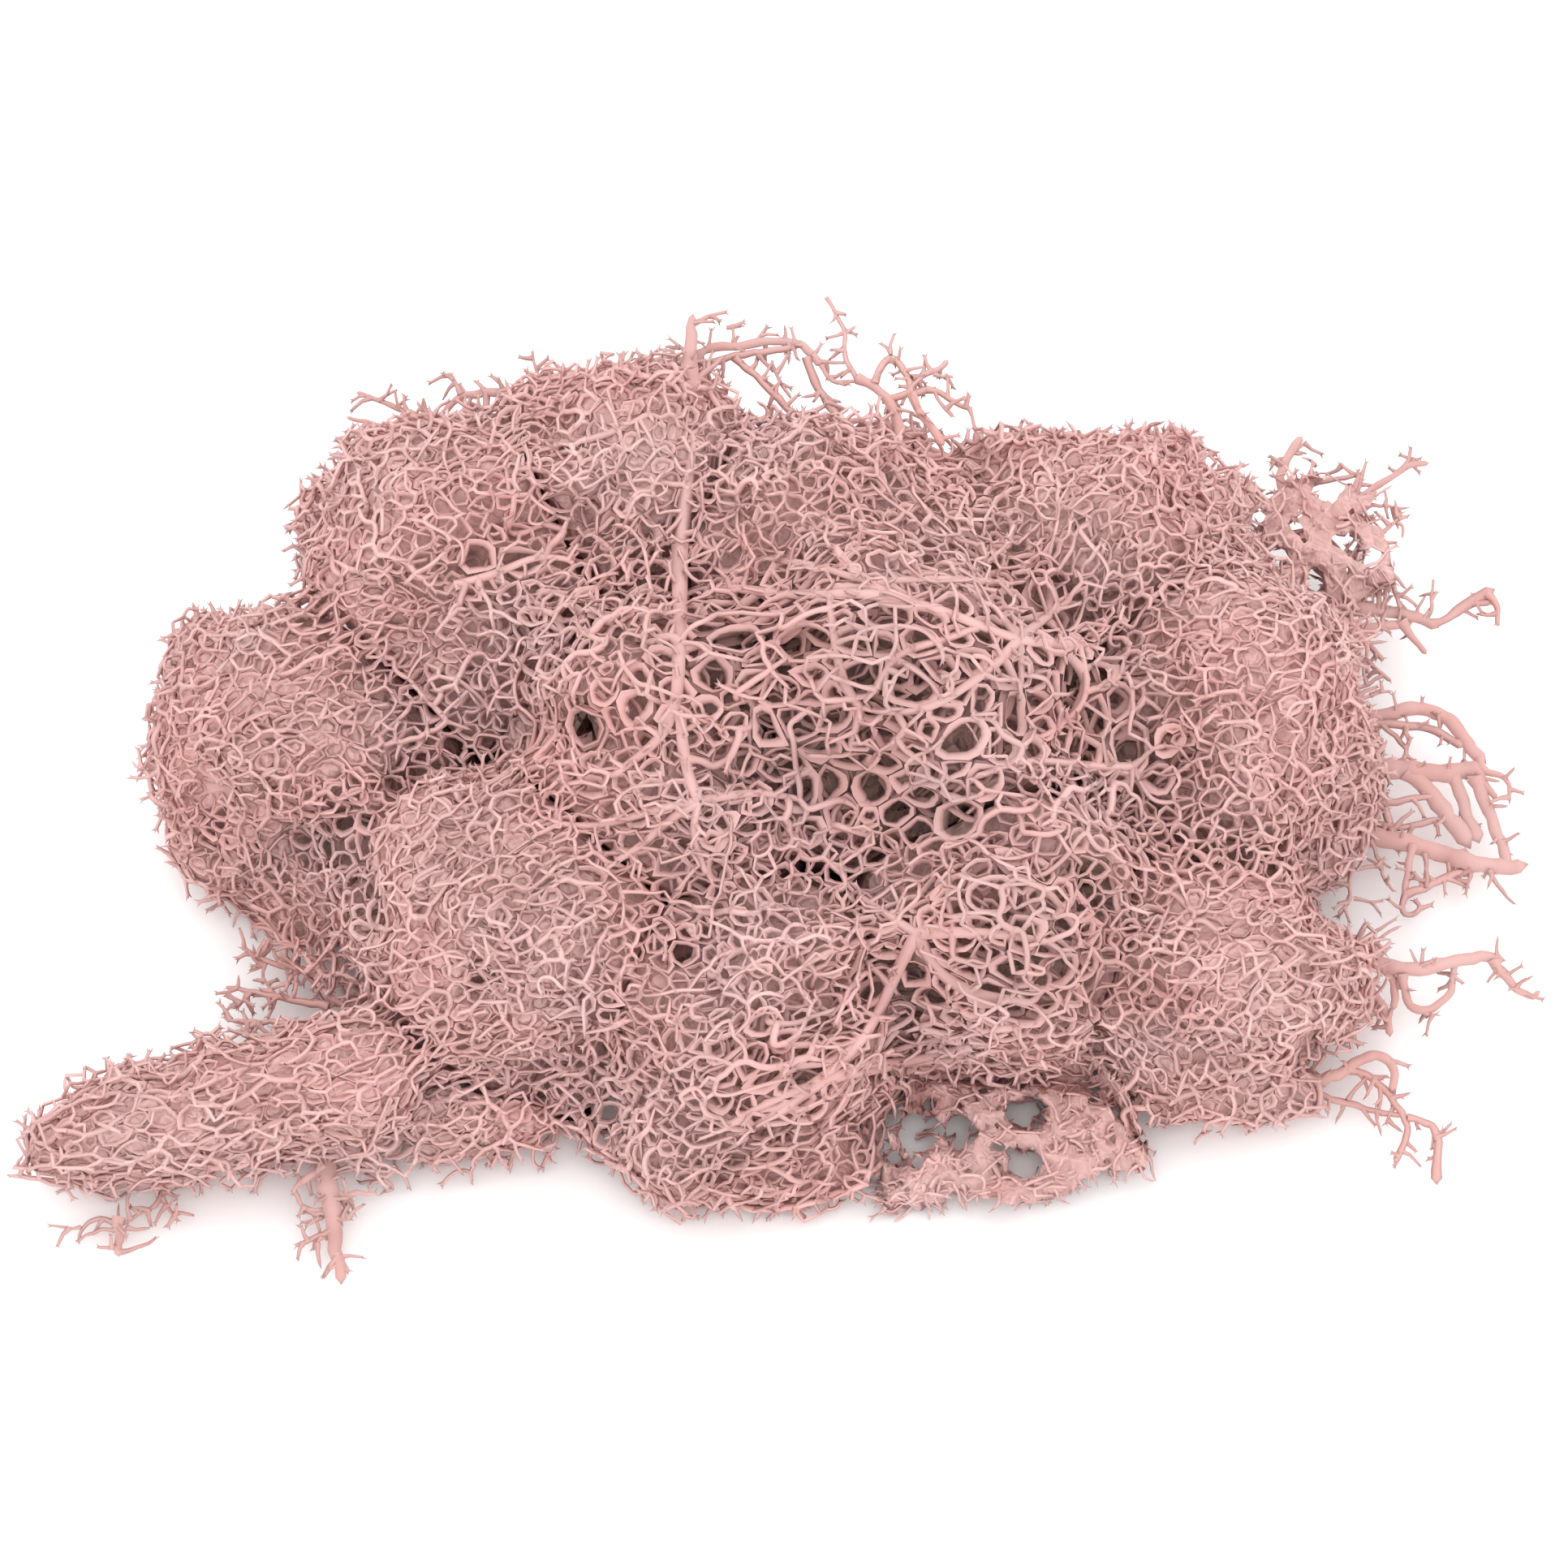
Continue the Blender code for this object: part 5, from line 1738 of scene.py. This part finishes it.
# The sprigs' branches: pixels along the way, width in pixels at its two ends, and how flat
BRANCHES = {
    "crest_sprig": [
        ([(848, 500), (848, 465), (851, 429), (853, 392)], 40, 10, 0.5),
        ([(853, 400), (864, 394), (880, 388), (894, 385)], 8, 5, 0.8),
        ([(851, 440), (838, 425), (826, 418)], 8, 4, 0.8),
        ([(858, 470), (880, 452), (890, 440)], 10, 5, 0.8),
    ],
    "top_arc_sprig": [
        ([(856, 445), (867, 427), (901, 427), (934, 422), (980, 419), (1001, 436), (1009, 447)],
         12, 12, 0.6),
        ([(866, 452), (887, 443), (916, 436), (951, 433), (980, 426)], 10, 9, 0.7),
        ([(903, 427), (903, 414), (903, 404)], 6, 4, 0.9),
        ([(895, 404), (903, 405), (913, 402)], 5, 4, 0.9),
        ([(930, 424), (937, 414), (942, 406)], 6, 4, 0.9),
        ([(980, 424), (980, 413), (975, 405)], 7, 4, 0.9),
        ([(1001, 440), (1008, 432), (1012, 424)], 7, 4, 0.9),
        ([(905, 440), (922, 456), (937, 465), (955, 490), (980, 511), (1001, 526)], 9, 10, 0.7),
        ([(950, 448), (957, 464), (960, 476), (973, 488)], 6, 5, 0.9),
        ([(994, 440), (998, 455), (1001, 469), (1014, 485), (1026, 506)], 11, 11, 0.6),
        ([(1008, 446), (1025, 444), (1041, 447)], 7, 5, 0.9),
        ([(1012, 450), (1018, 466), (1030, 474), (1051, 470)], 7, 6, 0.9),
        ([(1018, 367), (1025, 378), (1031, 387), (1043, 408), (1039, 426), (1043, 447), (1056, 468)],
         5, 9, 0.9),
        ([(1031, 387), (1027, 395)], 5, 4, 0.9),
        ([(1043, 410), (1052, 404)], 5, 4, 0.9),
        ([(1056, 466), (1076, 472), (1087, 490), (1101, 497), (1109, 530)], 12, 15, 0.6),
        ([(1078, 472), (1083, 455), (1089, 445), (1098, 435), (1112, 447), (1119, 465), (1123, 484)],
         9, 9, 0.7),
        ([(1087, 492), (1105, 489), (1123, 484), (1140, 480)], 9, 10, 0.7),
        ([(1123, 466), (1137, 465), (1150, 461), (1166, 446)], 8, 7, 0.8),
        ([(1150, 461), (1163, 466), (1172, 464)], 6, 4, 0.9),
        ([(1098, 437), (1094, 428), (1086, 424)], 6, 4, 0.9),
        ([(1140, 480), (1159, 480), (1176, 500), (1194, 503)], 9, 6, 0.8),
        ([(1150, 478), (1155, 497), (1173, 512)], 6, 6, 0.9),
        ([(1123, 484), (1130, 505), (1145, 520), (1160, 545)], 12, 12, 0.6),
        ([(1109, 528), (1106, 545), (1120, 565)], 13, 12, 0.7),
        ([(1194, 503), (1199, 515), (1201, 531)], 6, 4, 0.9),
        ([(1026, 504), (1040, 520), (1050, 540)], 10, 9, 0.7),
    ],
    "top_left_sprig": [
        ([(640, 489), (622, 482), (600, 484), (568, 486), (556, 496), (545, 512)], 14, 9, 0.6),
        ([(568, 486), (566, 475), (556, 462)], 8, 4, 0.9),
        ([(640, 489), (655, 480), (672, 480), (690, 474)], 13, 10, 0.6),
        ([(662, 482), (662, 462), (656, 434)], 7, 4, 0.9),
        ([(662, 466), (672, 458), (680, 459)], 5, 4, 0.9),
        ([(545, 512), (526, 516), (500, 508), (482, 500), (460, 492), (442, 484)], 9, 6, 0.8),
        ([(500, 508), (496, 520), (478, 528), (458, 524), (440, 516), (430, 515)], 8, 5, 0.8),
        ([(458, 524), (452, 536), (438, 545), (432, 556)], 7, 4, 0.9),
        ([(465, 495), (474, 486), (486, 482)], 6, 4, 0.9),
        ([(526, 516), (522, 504), (515, 497)], 7, 4, 0.9),
        ([(545, 512), (548, 530), (540, 548), (520, 556)], 9, 9, 0.7),
        ([(496, 520), (500, 536), (512, 552)], 8, 8, 0.8),
        ([(472, 528), (470, 545), (480, 562)], 7, 7, 0.8),
        ([(600, 484), (596, 500), (604, 520), (618, 535)], 8, 10, 0.7),
        ([(640, 489), (636, 510), (640, 530)], 12, 12, 0.6),
        ([(582, 486), (578, 506), (570, 524)], 6, 8, 0.8),
    ],
    "upper_right_sprig": [
        ([(1590, 610), (1574, 598), (1580, 575), (1592, 556), (1602, 541)], 14, 12, 0.5),
        ([(1592, 556), (1600, 556), (1608, 546)], 8, 5, 0.8),
        ([(1586, 566), (1576, 562), (1566, 570)], 7, 4, 0.9),
        ([(1672, 660), (1672, 640), (1672, 619), (1668, 600), (1676, 588)], 17, 12, 0.6),
        ([(1672, 615), (1690, 603), (1712, 590), (1735, 573), (1757, 571)], 12, 8, 0.6),
        ([(1735, 573), (1746, 568), (1750, 565)], 7, 4, 0.9),
        ([(1574, 590), (1590, 600), (1612, 600), (1645, 590), (1668, 586)], 7, 7, 0.8),
        ([(1676, 588), (1662, 582), (1652, 572)], 8, 5, 0.9),
        ([(1676, 588), (1684, 578), (1683, 570)], 7, 4, 0.9),
        ([(1690, 660), (1705, 664), (1712, 692), (1718, 726), (1725, 748)], 9, 6, 0.8),
        ([(1680, 628), (1700, 620), (1715, 626), (1732, 626)], 7, 4, 0.8),
        ([(1700, 660), (1708, 648), (1722, 644), (1727, 632)], 7, 4, 0.8),
        ([(1722, 644), (1736, 650), (1728, 660)], 5, 4, 0.8),
        ([(1645, 683), (1660, 686), (1680, 678), (1698, 663)], 8, 7, 0.8),
        ([(1669, 722), (1670, 706), (1684, 698), (1700, 706), (1716, 722)], 10, 8, 0.7),
        ([(1645, 640), (1658, 640), (1672, 632)], 9, 10, 0.7),
    ],
    "right_arm_sprig": [
        ([(1640, 756), (1668, 750), (1700, 752), (1730, 754), (1751, 762), (1766, 770)], 26, 14, 0.4),
        ([(1660, 780), (1690, 772), (1715, 770), (1735, 768)], 18, 12, 0.4),
        ([(1726, 764), (1734, 778), (1742, 789), (1755, 803)], 14, 8, 0.6),
        ([(1755, 764), (1764, 750), (1764, 735), (1766, 716)], 7, 4, 0.9),
        ([(1764, 738), (1770, 730)], 5, 4, 0.9),
        ([(1764, 769), (1778, 769), (1791, 754), (1811, 742), (1834, 730)], 10, 17, 0.45),
        ([(1832, 731), (1841, 738), (1848, 752), (1845, 769)], 11, 6, 0.6),
        ([(1811, 743), (1820, 748), (1833, 742)], 8, 10, 0.6),
        ([(1700, 756), (1702, 735), (1694, 722)], 9, 5, 0.8),
        ([(1680, 782), (1690, 800), (1703, 812)], 9, 6, 0.8),
        ([(1665, 800), (1688, 815), (1703, 833), (1712, 838)], 9, 5, 0.8),
        ([(1703, 833), (1688, 843), (1665, 852)], 6, 6, 0.9),
        ([(1650, 864), (1675, 862), (1693, 854), (1712, 852)], 7, 4, 0.9),
    ],
    "right_fan_sprig": [
        ([(1665, 895), (1679, 883), (1716, 880), (1730, 871), (1757, 872), (1780, 882), (1794, 896),
          (1806, 914), (1824, 934)], 20, 19, 0.4),
        ([(1680, 893), (1702, 890), (1725, 893), (1755, 895), (1780, 905), (1799, 918)], 10, 12, 0.5),
        ([(1702, 892), (1718, 907), (1734, 918), (1737, 930), (1728, 944)], 7, 8, 0.8),
        ([(1824, 934), (1820, 945), (1835, 955), (1850, 953), (1861, 960), (1860, 986)], 12, 5, 0.6),
        ([(1818, 948), (1829, 965), (1842, 982)], 11, 9, 0.6),
        ([(1640, 945), (1670, 944), (1702, 946), (1734, 949), (1757, 953), (1790, 952), (1818, 948)],
         30, 26, 0.35),
        ([(1734, 950), (1755, 967), (1776, 994), (1792, 1018), (1805, 1034)], 24, 24, 0.35),
        ([(1790, 955), (1798, 975), (1809, 1005), (1819, 1030)], 18, 20, 0.4),
        ([(1818, 958), (1822, 976), (1834, 994), (1840, 1015), (1849, 1035), (1856, 1060)], 20, 16, 0.4),
        ([(1650, 1025), (1680, 1030), (1707, 1034), (1744, 1040), (1778, 1053), (1813, 1063), (1845, 1070),
          (1872, 1067)], 30, 22, 0.35),
        ([(1700, 955), (1704, 985), (1712, 1012), (1716, 1032)], 9, 11, 0.6),
        ([(1655, 985), (1680, 988), (1706, 992), (1740, 985), (1765, 982)], 11, 8, 0.6),
        ([(1650, 1005), (1676, 1012), (1700, 1018), (1730, 1020), (1760, 1012), (1785, 1010)], 9, 8, 0.6),
        ([(1741, 1042), (1735, 1063), (1732, 1084), (1732, 1102)], 11, 11, 0.6),
        ([(1732, 1102), (1757, 1094), (1780, 1080), (1810, 1075)], 10, 12, 0.6),
        ([(1812, 1068), (1810, 1085), (1806, 1101)], 7, 4, 0.9),
        ([(1835, 1072), (1845, 1090), (1852, 1100), (1865, 1113)], 8, 4, 0.9),
        ([(1732, 1102), (1723, 1126), (1739, 1130), (1755, 1121), (1744, 1110)], 8, 6, 0.7),
        ([(1660, 1030), (1664, 1050), (1666, 1074), (1661, 1088), (1668, 1109), (1650, 1124)], 8, 4, 0.9),
        ([(1688, 1036), (1702, 1066), (1707, 1087), (1716, 1097)], 7, 4, 0.9),
        ([(1668, 1107), (1689, 1114), (1702, 1110)], 6, 4, 0.9),
        ([(1640, 1070), (1664, 1072), (1690, 1066), (1702, 1068)], 6, 6, 0.9),
        ([(1588, 1112), (1605, 1118), (1625, 1130), (1645, 1138)], 7, 4, 0.9),
        ([(1611, 1095), (1613, 1116), (1616, 1138)], 7, 4, 0.9),
        ([(1625, 1100), (1640, 1094), (1661, 1088)], 7, 6, 0.9),
        ([(1650, 960), (1662, 972), (1655, 990), (1662, 1010), (1655, 1030)], 9, 10, 0.6),
        ([(1755, 1052), (1760, 1068), (1757, 1092)], 7, 6, 0.8),
        ([(1785, 1056), (1786, 1078)], 8, 7, 0.8),
    ],
    "lower_right_sprig": [
        ([(1630, 1170), (1659, 1178), (1709, 1190), (1744, 1196), (1767, 1191), (1801, 1182), (1826, 1177),
          (1847, 1182)], 26, 15, 0.45),
        ([(1842, 1184), (1856, 1207), (1870, 1220), (1881, 1230), (1891, 1232), (1895, 1223)], 15, 7, 0.55),
        ([(1845, 1182), (1850, 1166), (1845, 1158)], 7, 4, 0.9),
        ([(1728, 1200), (1730, 1228), (1738, 1243), (1755, 1249), (1776, 1238), (1790, 1223), (1790, 1205),
          (1792, 1190)], 13, 9, 0.5),
        ([(1755, 1249), (1764, 1256), (1770, 1250)], 6, 4, 0.9),
        ([(1650, 1190), (1672, 1212), (1690, 1225), (1707, 1246), (1712, 1272)], 26, 10, 0.4),
        ([(1620, 1200), (1640, 1222), (1656, 1240), (1690, 1248)], 28, 14, 0.4),
        ([(1705, 1192), (1722, 1214), (1717, 1240)], 12, 10, 0.5),
        ([(1605, 1235), (1625, 1245), (1650, 1252), (1685, 1255)], 20, 12, 0.45),
        ([(1618, 1262), (1636, 1280), (1656, 1279), (1673, 1266)], 8, 4, 0.8),
        ([(1636, 1280), (1648, 1288), (1661, 1290)], 6, 4, 0.9),
        ([(1612, 1262), (1620, 1285), (1631, 1301), (1646, 1299)], 8, 4, 0.9),
        ([(1631, 1301), (1629, 1315), (1619, 1318)], 5, 4, 0.9),
        ([(1668, 1176), (1672, 1160), (1682, 1138)], 8, 4, 0.9),
        ([(1680, 1160), (1690, 1150), (1702, 1143), (1719, 1133)], 7, 4, 0.9),
        ([(1684, 1182), (1696, 1160), (1707, 1150), (1722, 1143)], 7, 4, 0.9),
        ([(1602, 1262), (1596, 1282), (1600, 1300)], 8, 6, 0.9),
    ],
    "curl_sprig": [
        ([(1575, 1335), (1594, 1333), (1617, 1336), (1652, 1322), (1679, 1303), (1698, 1297), (1716, 1308),
          (1721, 1325), (1716, 1340)], 20, 12, 0.5),
        ([(1660, 1318), (1679, 1324), (1698, 1331), (1709, 1345), (1725, 1366), (1734, 1379), (1737, 1391),
          (1732, 1409), (1720, 1429)], 10, 8, 0.6),
        ([(1734, 1377), (1748, 1380), (1760, 1383), (1771, 1388), (1773, 1407), (1770, 1452)], 8, 13, 0.5),
        ([(1771, 1400), (1778, 1392)], 5, 4, 0.9),
        ([(1620, 1344), (1638, 1354), (1659, 1356), (1679, 1366), (1702, 1372), (1724, 1374)], 9, 7, 0.8),
        ([(1700, 1335), (1707, 1348), (1698, 1370)], 7, 6, 0.9),
        ([(1660, 1356), (1672, 1340), (1684, 1328)], 7, 6, 0.9),
        ([(1598, 1338), (1602, 1352), (1604, 1369)], 7, 4, 0.9),
        ([(1568, 1345), (1578, 1362), (1581, 1386)], 8, 4, 0.9),
        ([(1580, 1374), (1592, 1375)], 5, 4, 0.9),
        ([(1638, 1350), (1640, 1362), (1636, 1372)], 6, 4, 0.9),
        ([(1679, 1366), (1684, 1380), (1694, 1386)], 6, 4, 0.9),
        ([(1716, 1366), (1708, 1384)], 6, 4, 0.9),
        ([(1734, 1409), (1744, 1418)], 5, 4, 0.9),
        ([(1560, 1330), (1580, 1318), (1600, 1326)], 12, 10, 0.6),
    ],
    "hanging_sprig": [
        ([(398, 1405), (400, 1425), (403, 1461), (409, 1490), (412, 1518), (415, 1547), (420, 1574)],
         36, 15, 0.45),
        ([(415, 1545), (424, 1556), (428, 1566)], 9, 6, 0.7),
        ([(400, 1440), (378, 1452), (364, 1461), (362, 1470)], 16, 6, 0.7),
        ([(362, 1466), (368, 1480), (380, 1492), (397, 1499)], 7, 8, 0.8),
        ([(412, 1470), (430, 1474), (445, 1468), (462, 1470)], 11, 5, 0.8),
        ([(430, 1474), (438, 1484), (436, 1494)], 6, 4, 0.9),
        ([(410, 1515), (396, 1522), (383, 1527), (366, 1534)], 9, 5, 0.8),
        ([(396, 1524), (390, 1534)], 5, 4, 0.9),
        ([(412, 1500), (422, 1506), (432, 1502)], 7, 4, 0.9),
        ([(414, 1550), (406, 1562), (402, 1570)], 8, 5, 0.8),
        ([(396, 1500), (386, 1508), (372, 1506)], 7, 4, 0.9),
    ],
    "lobe_sprig": [
        ([(206, 1448), (205, 1462), (199, 1477), (188, 1488)], 9, 6, 0.8),
        ([(200, 1476), (208, 1492), (219, 1504)], 7, 4, 0.9),
        ([(146, 1500), (148, 1520), (146, 1543)], 15, 11, 0.6),
        ([(147, 1505), (146, 1487)], 5, 3, 0.9),
        ([(146, 1508), (136, 1502), (120, 1500), (107, 1504), (97, 1512), (97, 1528)], 8, 4, 0.8),
        ([(146, 1516), (132, 1513), (119, 1514), (107, 1524), (97, 1529)], 7, 4, 0.8),
        ([(100, 1512), (90, 1510), (76, 1515), (62, 1510)], 5, 3, 0.9),
        ([(146, 1538), (134, 1540), (122, 1537)], 6, 4, 0.9),
        ([(147, 1543), (158, 1543), (170, 1539), (191, 1526)], 7, 4, 0.8),
        ([(150, 1528), (158, 1522), (157, 1510)], 5, 3, 0.9),
        ([(190, 1486), (180, 1492), (165, 1500), (152, 1508)], 5, 5, 0.9),
    ],
    "left_fringe_sprig": [
        ([(405, 1240), (375, 1236), (340, 1228), (310, 1222), (281, 1217)], 12, 5, 0.8),
        ([(395, 1200), (365, 1196), (339, 1190), (318, 1178), (299, 1168)], 11, 5, 0.8),
        ([(390, 1185), (370, 1172), (352, 1160), (335, 1146), (319, 1130)], 11, 5, 0.8),
        ([(340, 1228), (332, 1212), (325, 1206)], 6, 4, 0.9),
        ([(330, 1184), (322, 1194), (310, 1196)], 6, 4, 0.9),
        ([(380, 1262), (350, 1262), (320, 1258), (295, 1262), (277, 1253)], 10, 4, 0.8),
        ([(310, 1222), (300, 1236), (288, 1238)], 6, 4, 0.9),
        ([(352, 1160), (338, 1166), (326, 1160)], 6, 4, 0.9),
        ([(320, 1258), (312, 1272), (304, 1282)], 6, 4, 0.9),
        ([(365, 1196), (355, 1208), (352, 1220)], 7, 5, 0.9),
    ],
}

# A sprig's strands face this way, and its colour is that of this depth
SPRIG_FACING = FORWARD * 0.8 + np.array((0.0, 0.0, -0.2))
SPRIG_DEPTH = 9.0

# How far apart the points of a branch are and how much they wander, in mm, how its radii vary, how much
# wider its foot is, and how far its tip goes, in radii
BRANCH_STEP = 0.9
BRANCH_WANDER = 0.07
BRANCH_RADII = (0.88, 1.1)
BRANCH_FOOT = 1.35
BRANCH_TIP = 1.2

# Branches that end thinner than this in pixels fork there, into tines this long in mm
FORKED_BELOW = 7
FORK_LENGTH = 0.7

# Twigs of the sprigs: how far apart, how long and how thick in mm, where on the branch, how far they lean
# ahead, stray and bend, their tip's length, their taper, and how many more there are on some sprigs
TWIG_GAP = 1.9
TWIG_LENGTH = 1.5
TWIG_LENGTHS = (0.5, 1.5)
TWIG_RADII = (0.17, 0.25)
TWIG_PLACES = (0.08, 0.98)
TWIG_LEANS = (-0.1, 0.9)
TWIG_STRAY = 0.5
TWIG_BEND = 0.35
TWIG_TIP = 0.5
TWIG_TAPER = np.array((1.7, 1.05, 0.9))
LOWEST_TWIG = 0.2
BUSHY = {"left_fringe_sprig": 1.6, "hanging_sprig": 1.2, "top_left_sprig": 1.2, "lobe_sprig": 0.6}


def sprig_points(samples, pixels):
    """The points that these pixels show on a sprig, as high as its solid is there."""
    ways = ray_ways(pixels)
    offset = samples[None] - EYE
    along = (offset * ways[:, None]).sum(axis=2)
    gap = np.linalg.norm(offset - along[..., None] * ways[:, None], axis=2)
    weight = 1 / (gap**2 + 0.5) ** 2
    height = (weight * samples[:, 2]).sum(axis=1) / weight.sum(axis=1)
    return at_height(ways, eased(eased(height)))


def add_twig(strands, points, tone, rng):
    """A twig that forks at its end, somewhere along a branch."""
    place = rng.uniform(*TWIG_PLACES) * (len(points) - 1)
    index = min(int(place), len(points) - 2)
    base = points[index] + (points[index + 1] - points[index]) * (place - index)
    run = unit(points[index + 1] - points[index])
    side = np.cross(run, FORWARD) * rng.choice([-1, 1]) + TWIG_STRAY * rng.normal(size=3)
    side = unit(side + run * rng.uniform(*TWIG_LEANS))
    reach = TWIG_LENGTH * rng.uniform(*TWIG_LENGTHS)
    bend = TWIG_BEND * any_side(side, rng)
    middle = base + side * reach * 0.5 + bend * reach * 0.25
    twig = np.stack([base, middle, base + side * reach])
    twig[:, 2] = np.maximum(twig[:, 2], LOWEST_TWIG)
    thin = rng.uniform(*TWIG_RADII)
    way = unit(twig[2] - twig[1])
    strands.add(twig, twig[2] + way * TWIG_TIP, thin * TWIG_TAPER, np.ones(3), tone)
    add_prongs(strands, twig[2], way, thin * 0.85, tone, rng, FORK_LENGTH)


def sprig_strands(name, rng):
    """A sprig's branches, each with twigs that fork at their ends."""
    corners, triangles = mesh_of(name)
    sides = corners[triangles]
    edges = (sides + np.roll(sides, 1, axis=1)).reshape(-1, 3) / 2
    samples = np.concatenate([corners, sides.mean(axis=1), edges])
    strands = Strands()
    for route, start, end, flat in BRANCHES[name]:
        points = sprig_points(samples, spaced_along(route, BRANCH_STEP / VIEW_SCALE))
        tone = rng.uniform(0.3, 0.9)
        radii = np.linspace(start, end, len(points)) * VIEW_SCALE / 2
        radii *= rng.uniform(*BRANCH_RADII, len(points))
        radii[0] *= BRANCH_FOOT
        points[1:-1] += rng.normal(0, BRANCH_WANDER, (len(points) - 2, 3))
        flats = np.full(len(points), flat)
        points[:, 2] = np.maximum(points[:, 2], radii * flats * 0.9)
        way = unit(points[-1] - points[-2])
        body, wide, level = halved(points, radii, flats)
        strands.add(body, points[-1] + way * radii[-1] * BRANCH_TIP, wide, level, tone)
        if end < FORKED_BELOW:
            thin = max(0.12, radii[-1] * 0.6)
            add_prongs(strands, points[-1] - way * 0.1, way, thin, tone, rng, FORK_LENGTH)
        length = np.linalg.norm(np.diff(points, axis=0), axis=1).sum()
        for _ in range(rng.poisson(length / TWIG_GAP * BUSHY.get(name, 1.0))):
            add_twig(strands, points, tone, rng)
    return strands


# The stage: half the floor's side in m, how bright the surroundings are, and the lamps with place and side in
# m and power in W
FLOOR_HALF = 3.0
WORLD_STRENGTH = 1.42
LAMPS = {"key": ((-0.1, 0.4, 0.9), 0.7, 1.25), "front": ((0.05, -0.5, 0.75), 0.5, 1.35)}
LAMPS_AIM = Vector((0, 0, 0.02))


def make_stage():
    """A white floor and surroundings, two soft lamps, and the camera of the photograph."""
    mesh = bpy.data.meshes.new("floor")
    corners = [(x * FLOOR_HALF, y * FLOOR_HALF, 0) for x, y in ((-1, -1), (1, -1), (1, 1), (-1, 1))]
    mesh.from_pydata(corners, [], [(0, 1, 2, 3)])
    floor = in_scene("floor", mesh)
    material = bpy.data.materials.new("floor")
    material.use_nodes = True
    shader = material.node_tree.nodes["Principled BSDF"]
    shader.inputs["Base Color"].default_value = (0.95, 0.95, 0.95, 1)
    shader.inputs["Roughness"].default_value = 0.9
    shader.inputs["Specular IOR Level"].default_value = 0.0
    mesh.materials.append(material)
    world = bpy.data.worlds.new("studio")
    world.use_nodes = True
    surroundings = world.node_tree.nodes["Background"].inputs
    surroundings["Color"].default_value = (1, 1, 1, 1)
    surroundings["Strength"].default_value = WORLD_STRENGTH
    bpy.context.scene.world = world
    for title, (place, size, power) in LAMPS.items():
        light = bpy.data.lights.new(title, "AREA")
        light.shape = "SQUARE"
        light.size = size
        light.energy = power
        lamp = in_scene(title, light)
        lamp.location = place
        lamp.rotation_euler = (LAMPS_AIM - Vector(place)).to_track_quat("-Z", "Y").to_euler()
    lens = bpy.data.cameras.new("camera")
    lens.sensor_fit = "HORIZONTAL"
    lens.sensor_width = SENSOR
    lens.lens = SENSOR * VIEW_DISTANCE / (IMAGE_SIDE * VIEW_SCALE)
    lens.clip_start = 0.01
    camera = in_scene("camera", lens)
    camera.location = Vector(EYE) * MM
    camera.rotation_euler = Vector(FORWARD).to_track_quat("-Z", "Y").to_euler()
    bpy.context.scene.camera = camera
    bpy.context.scene.view_settings.view_transform = "Standard"


def main():
    """Sets the stage, grows the moss, and adds its pieces."""
    make_stage()
    gathered = fill_strands(make_tangle())
    material = moss_material("moss")
    rng = np.random.default_rng(SEED + 2)
    webs = [Cells() for _ in MASSES]
    for layer in LAYERS:
        add_web(webs, layer, rng)
    for name, strands, web in zip(MASSES, gathered, webs):
        matted = core_of(name, rng) if name in TUFTS else sheet_of(name, strands, rng)
        add_piece(piece_mesh(name + "_strands", strands, web, matted), material, name)
    for name in SPRIGS:
        strands = sprig_strands(name, rng)
        add_piece(piece_mesh(name + "_strands", strands, facing=SPRIG_FACING), material, name)


main()
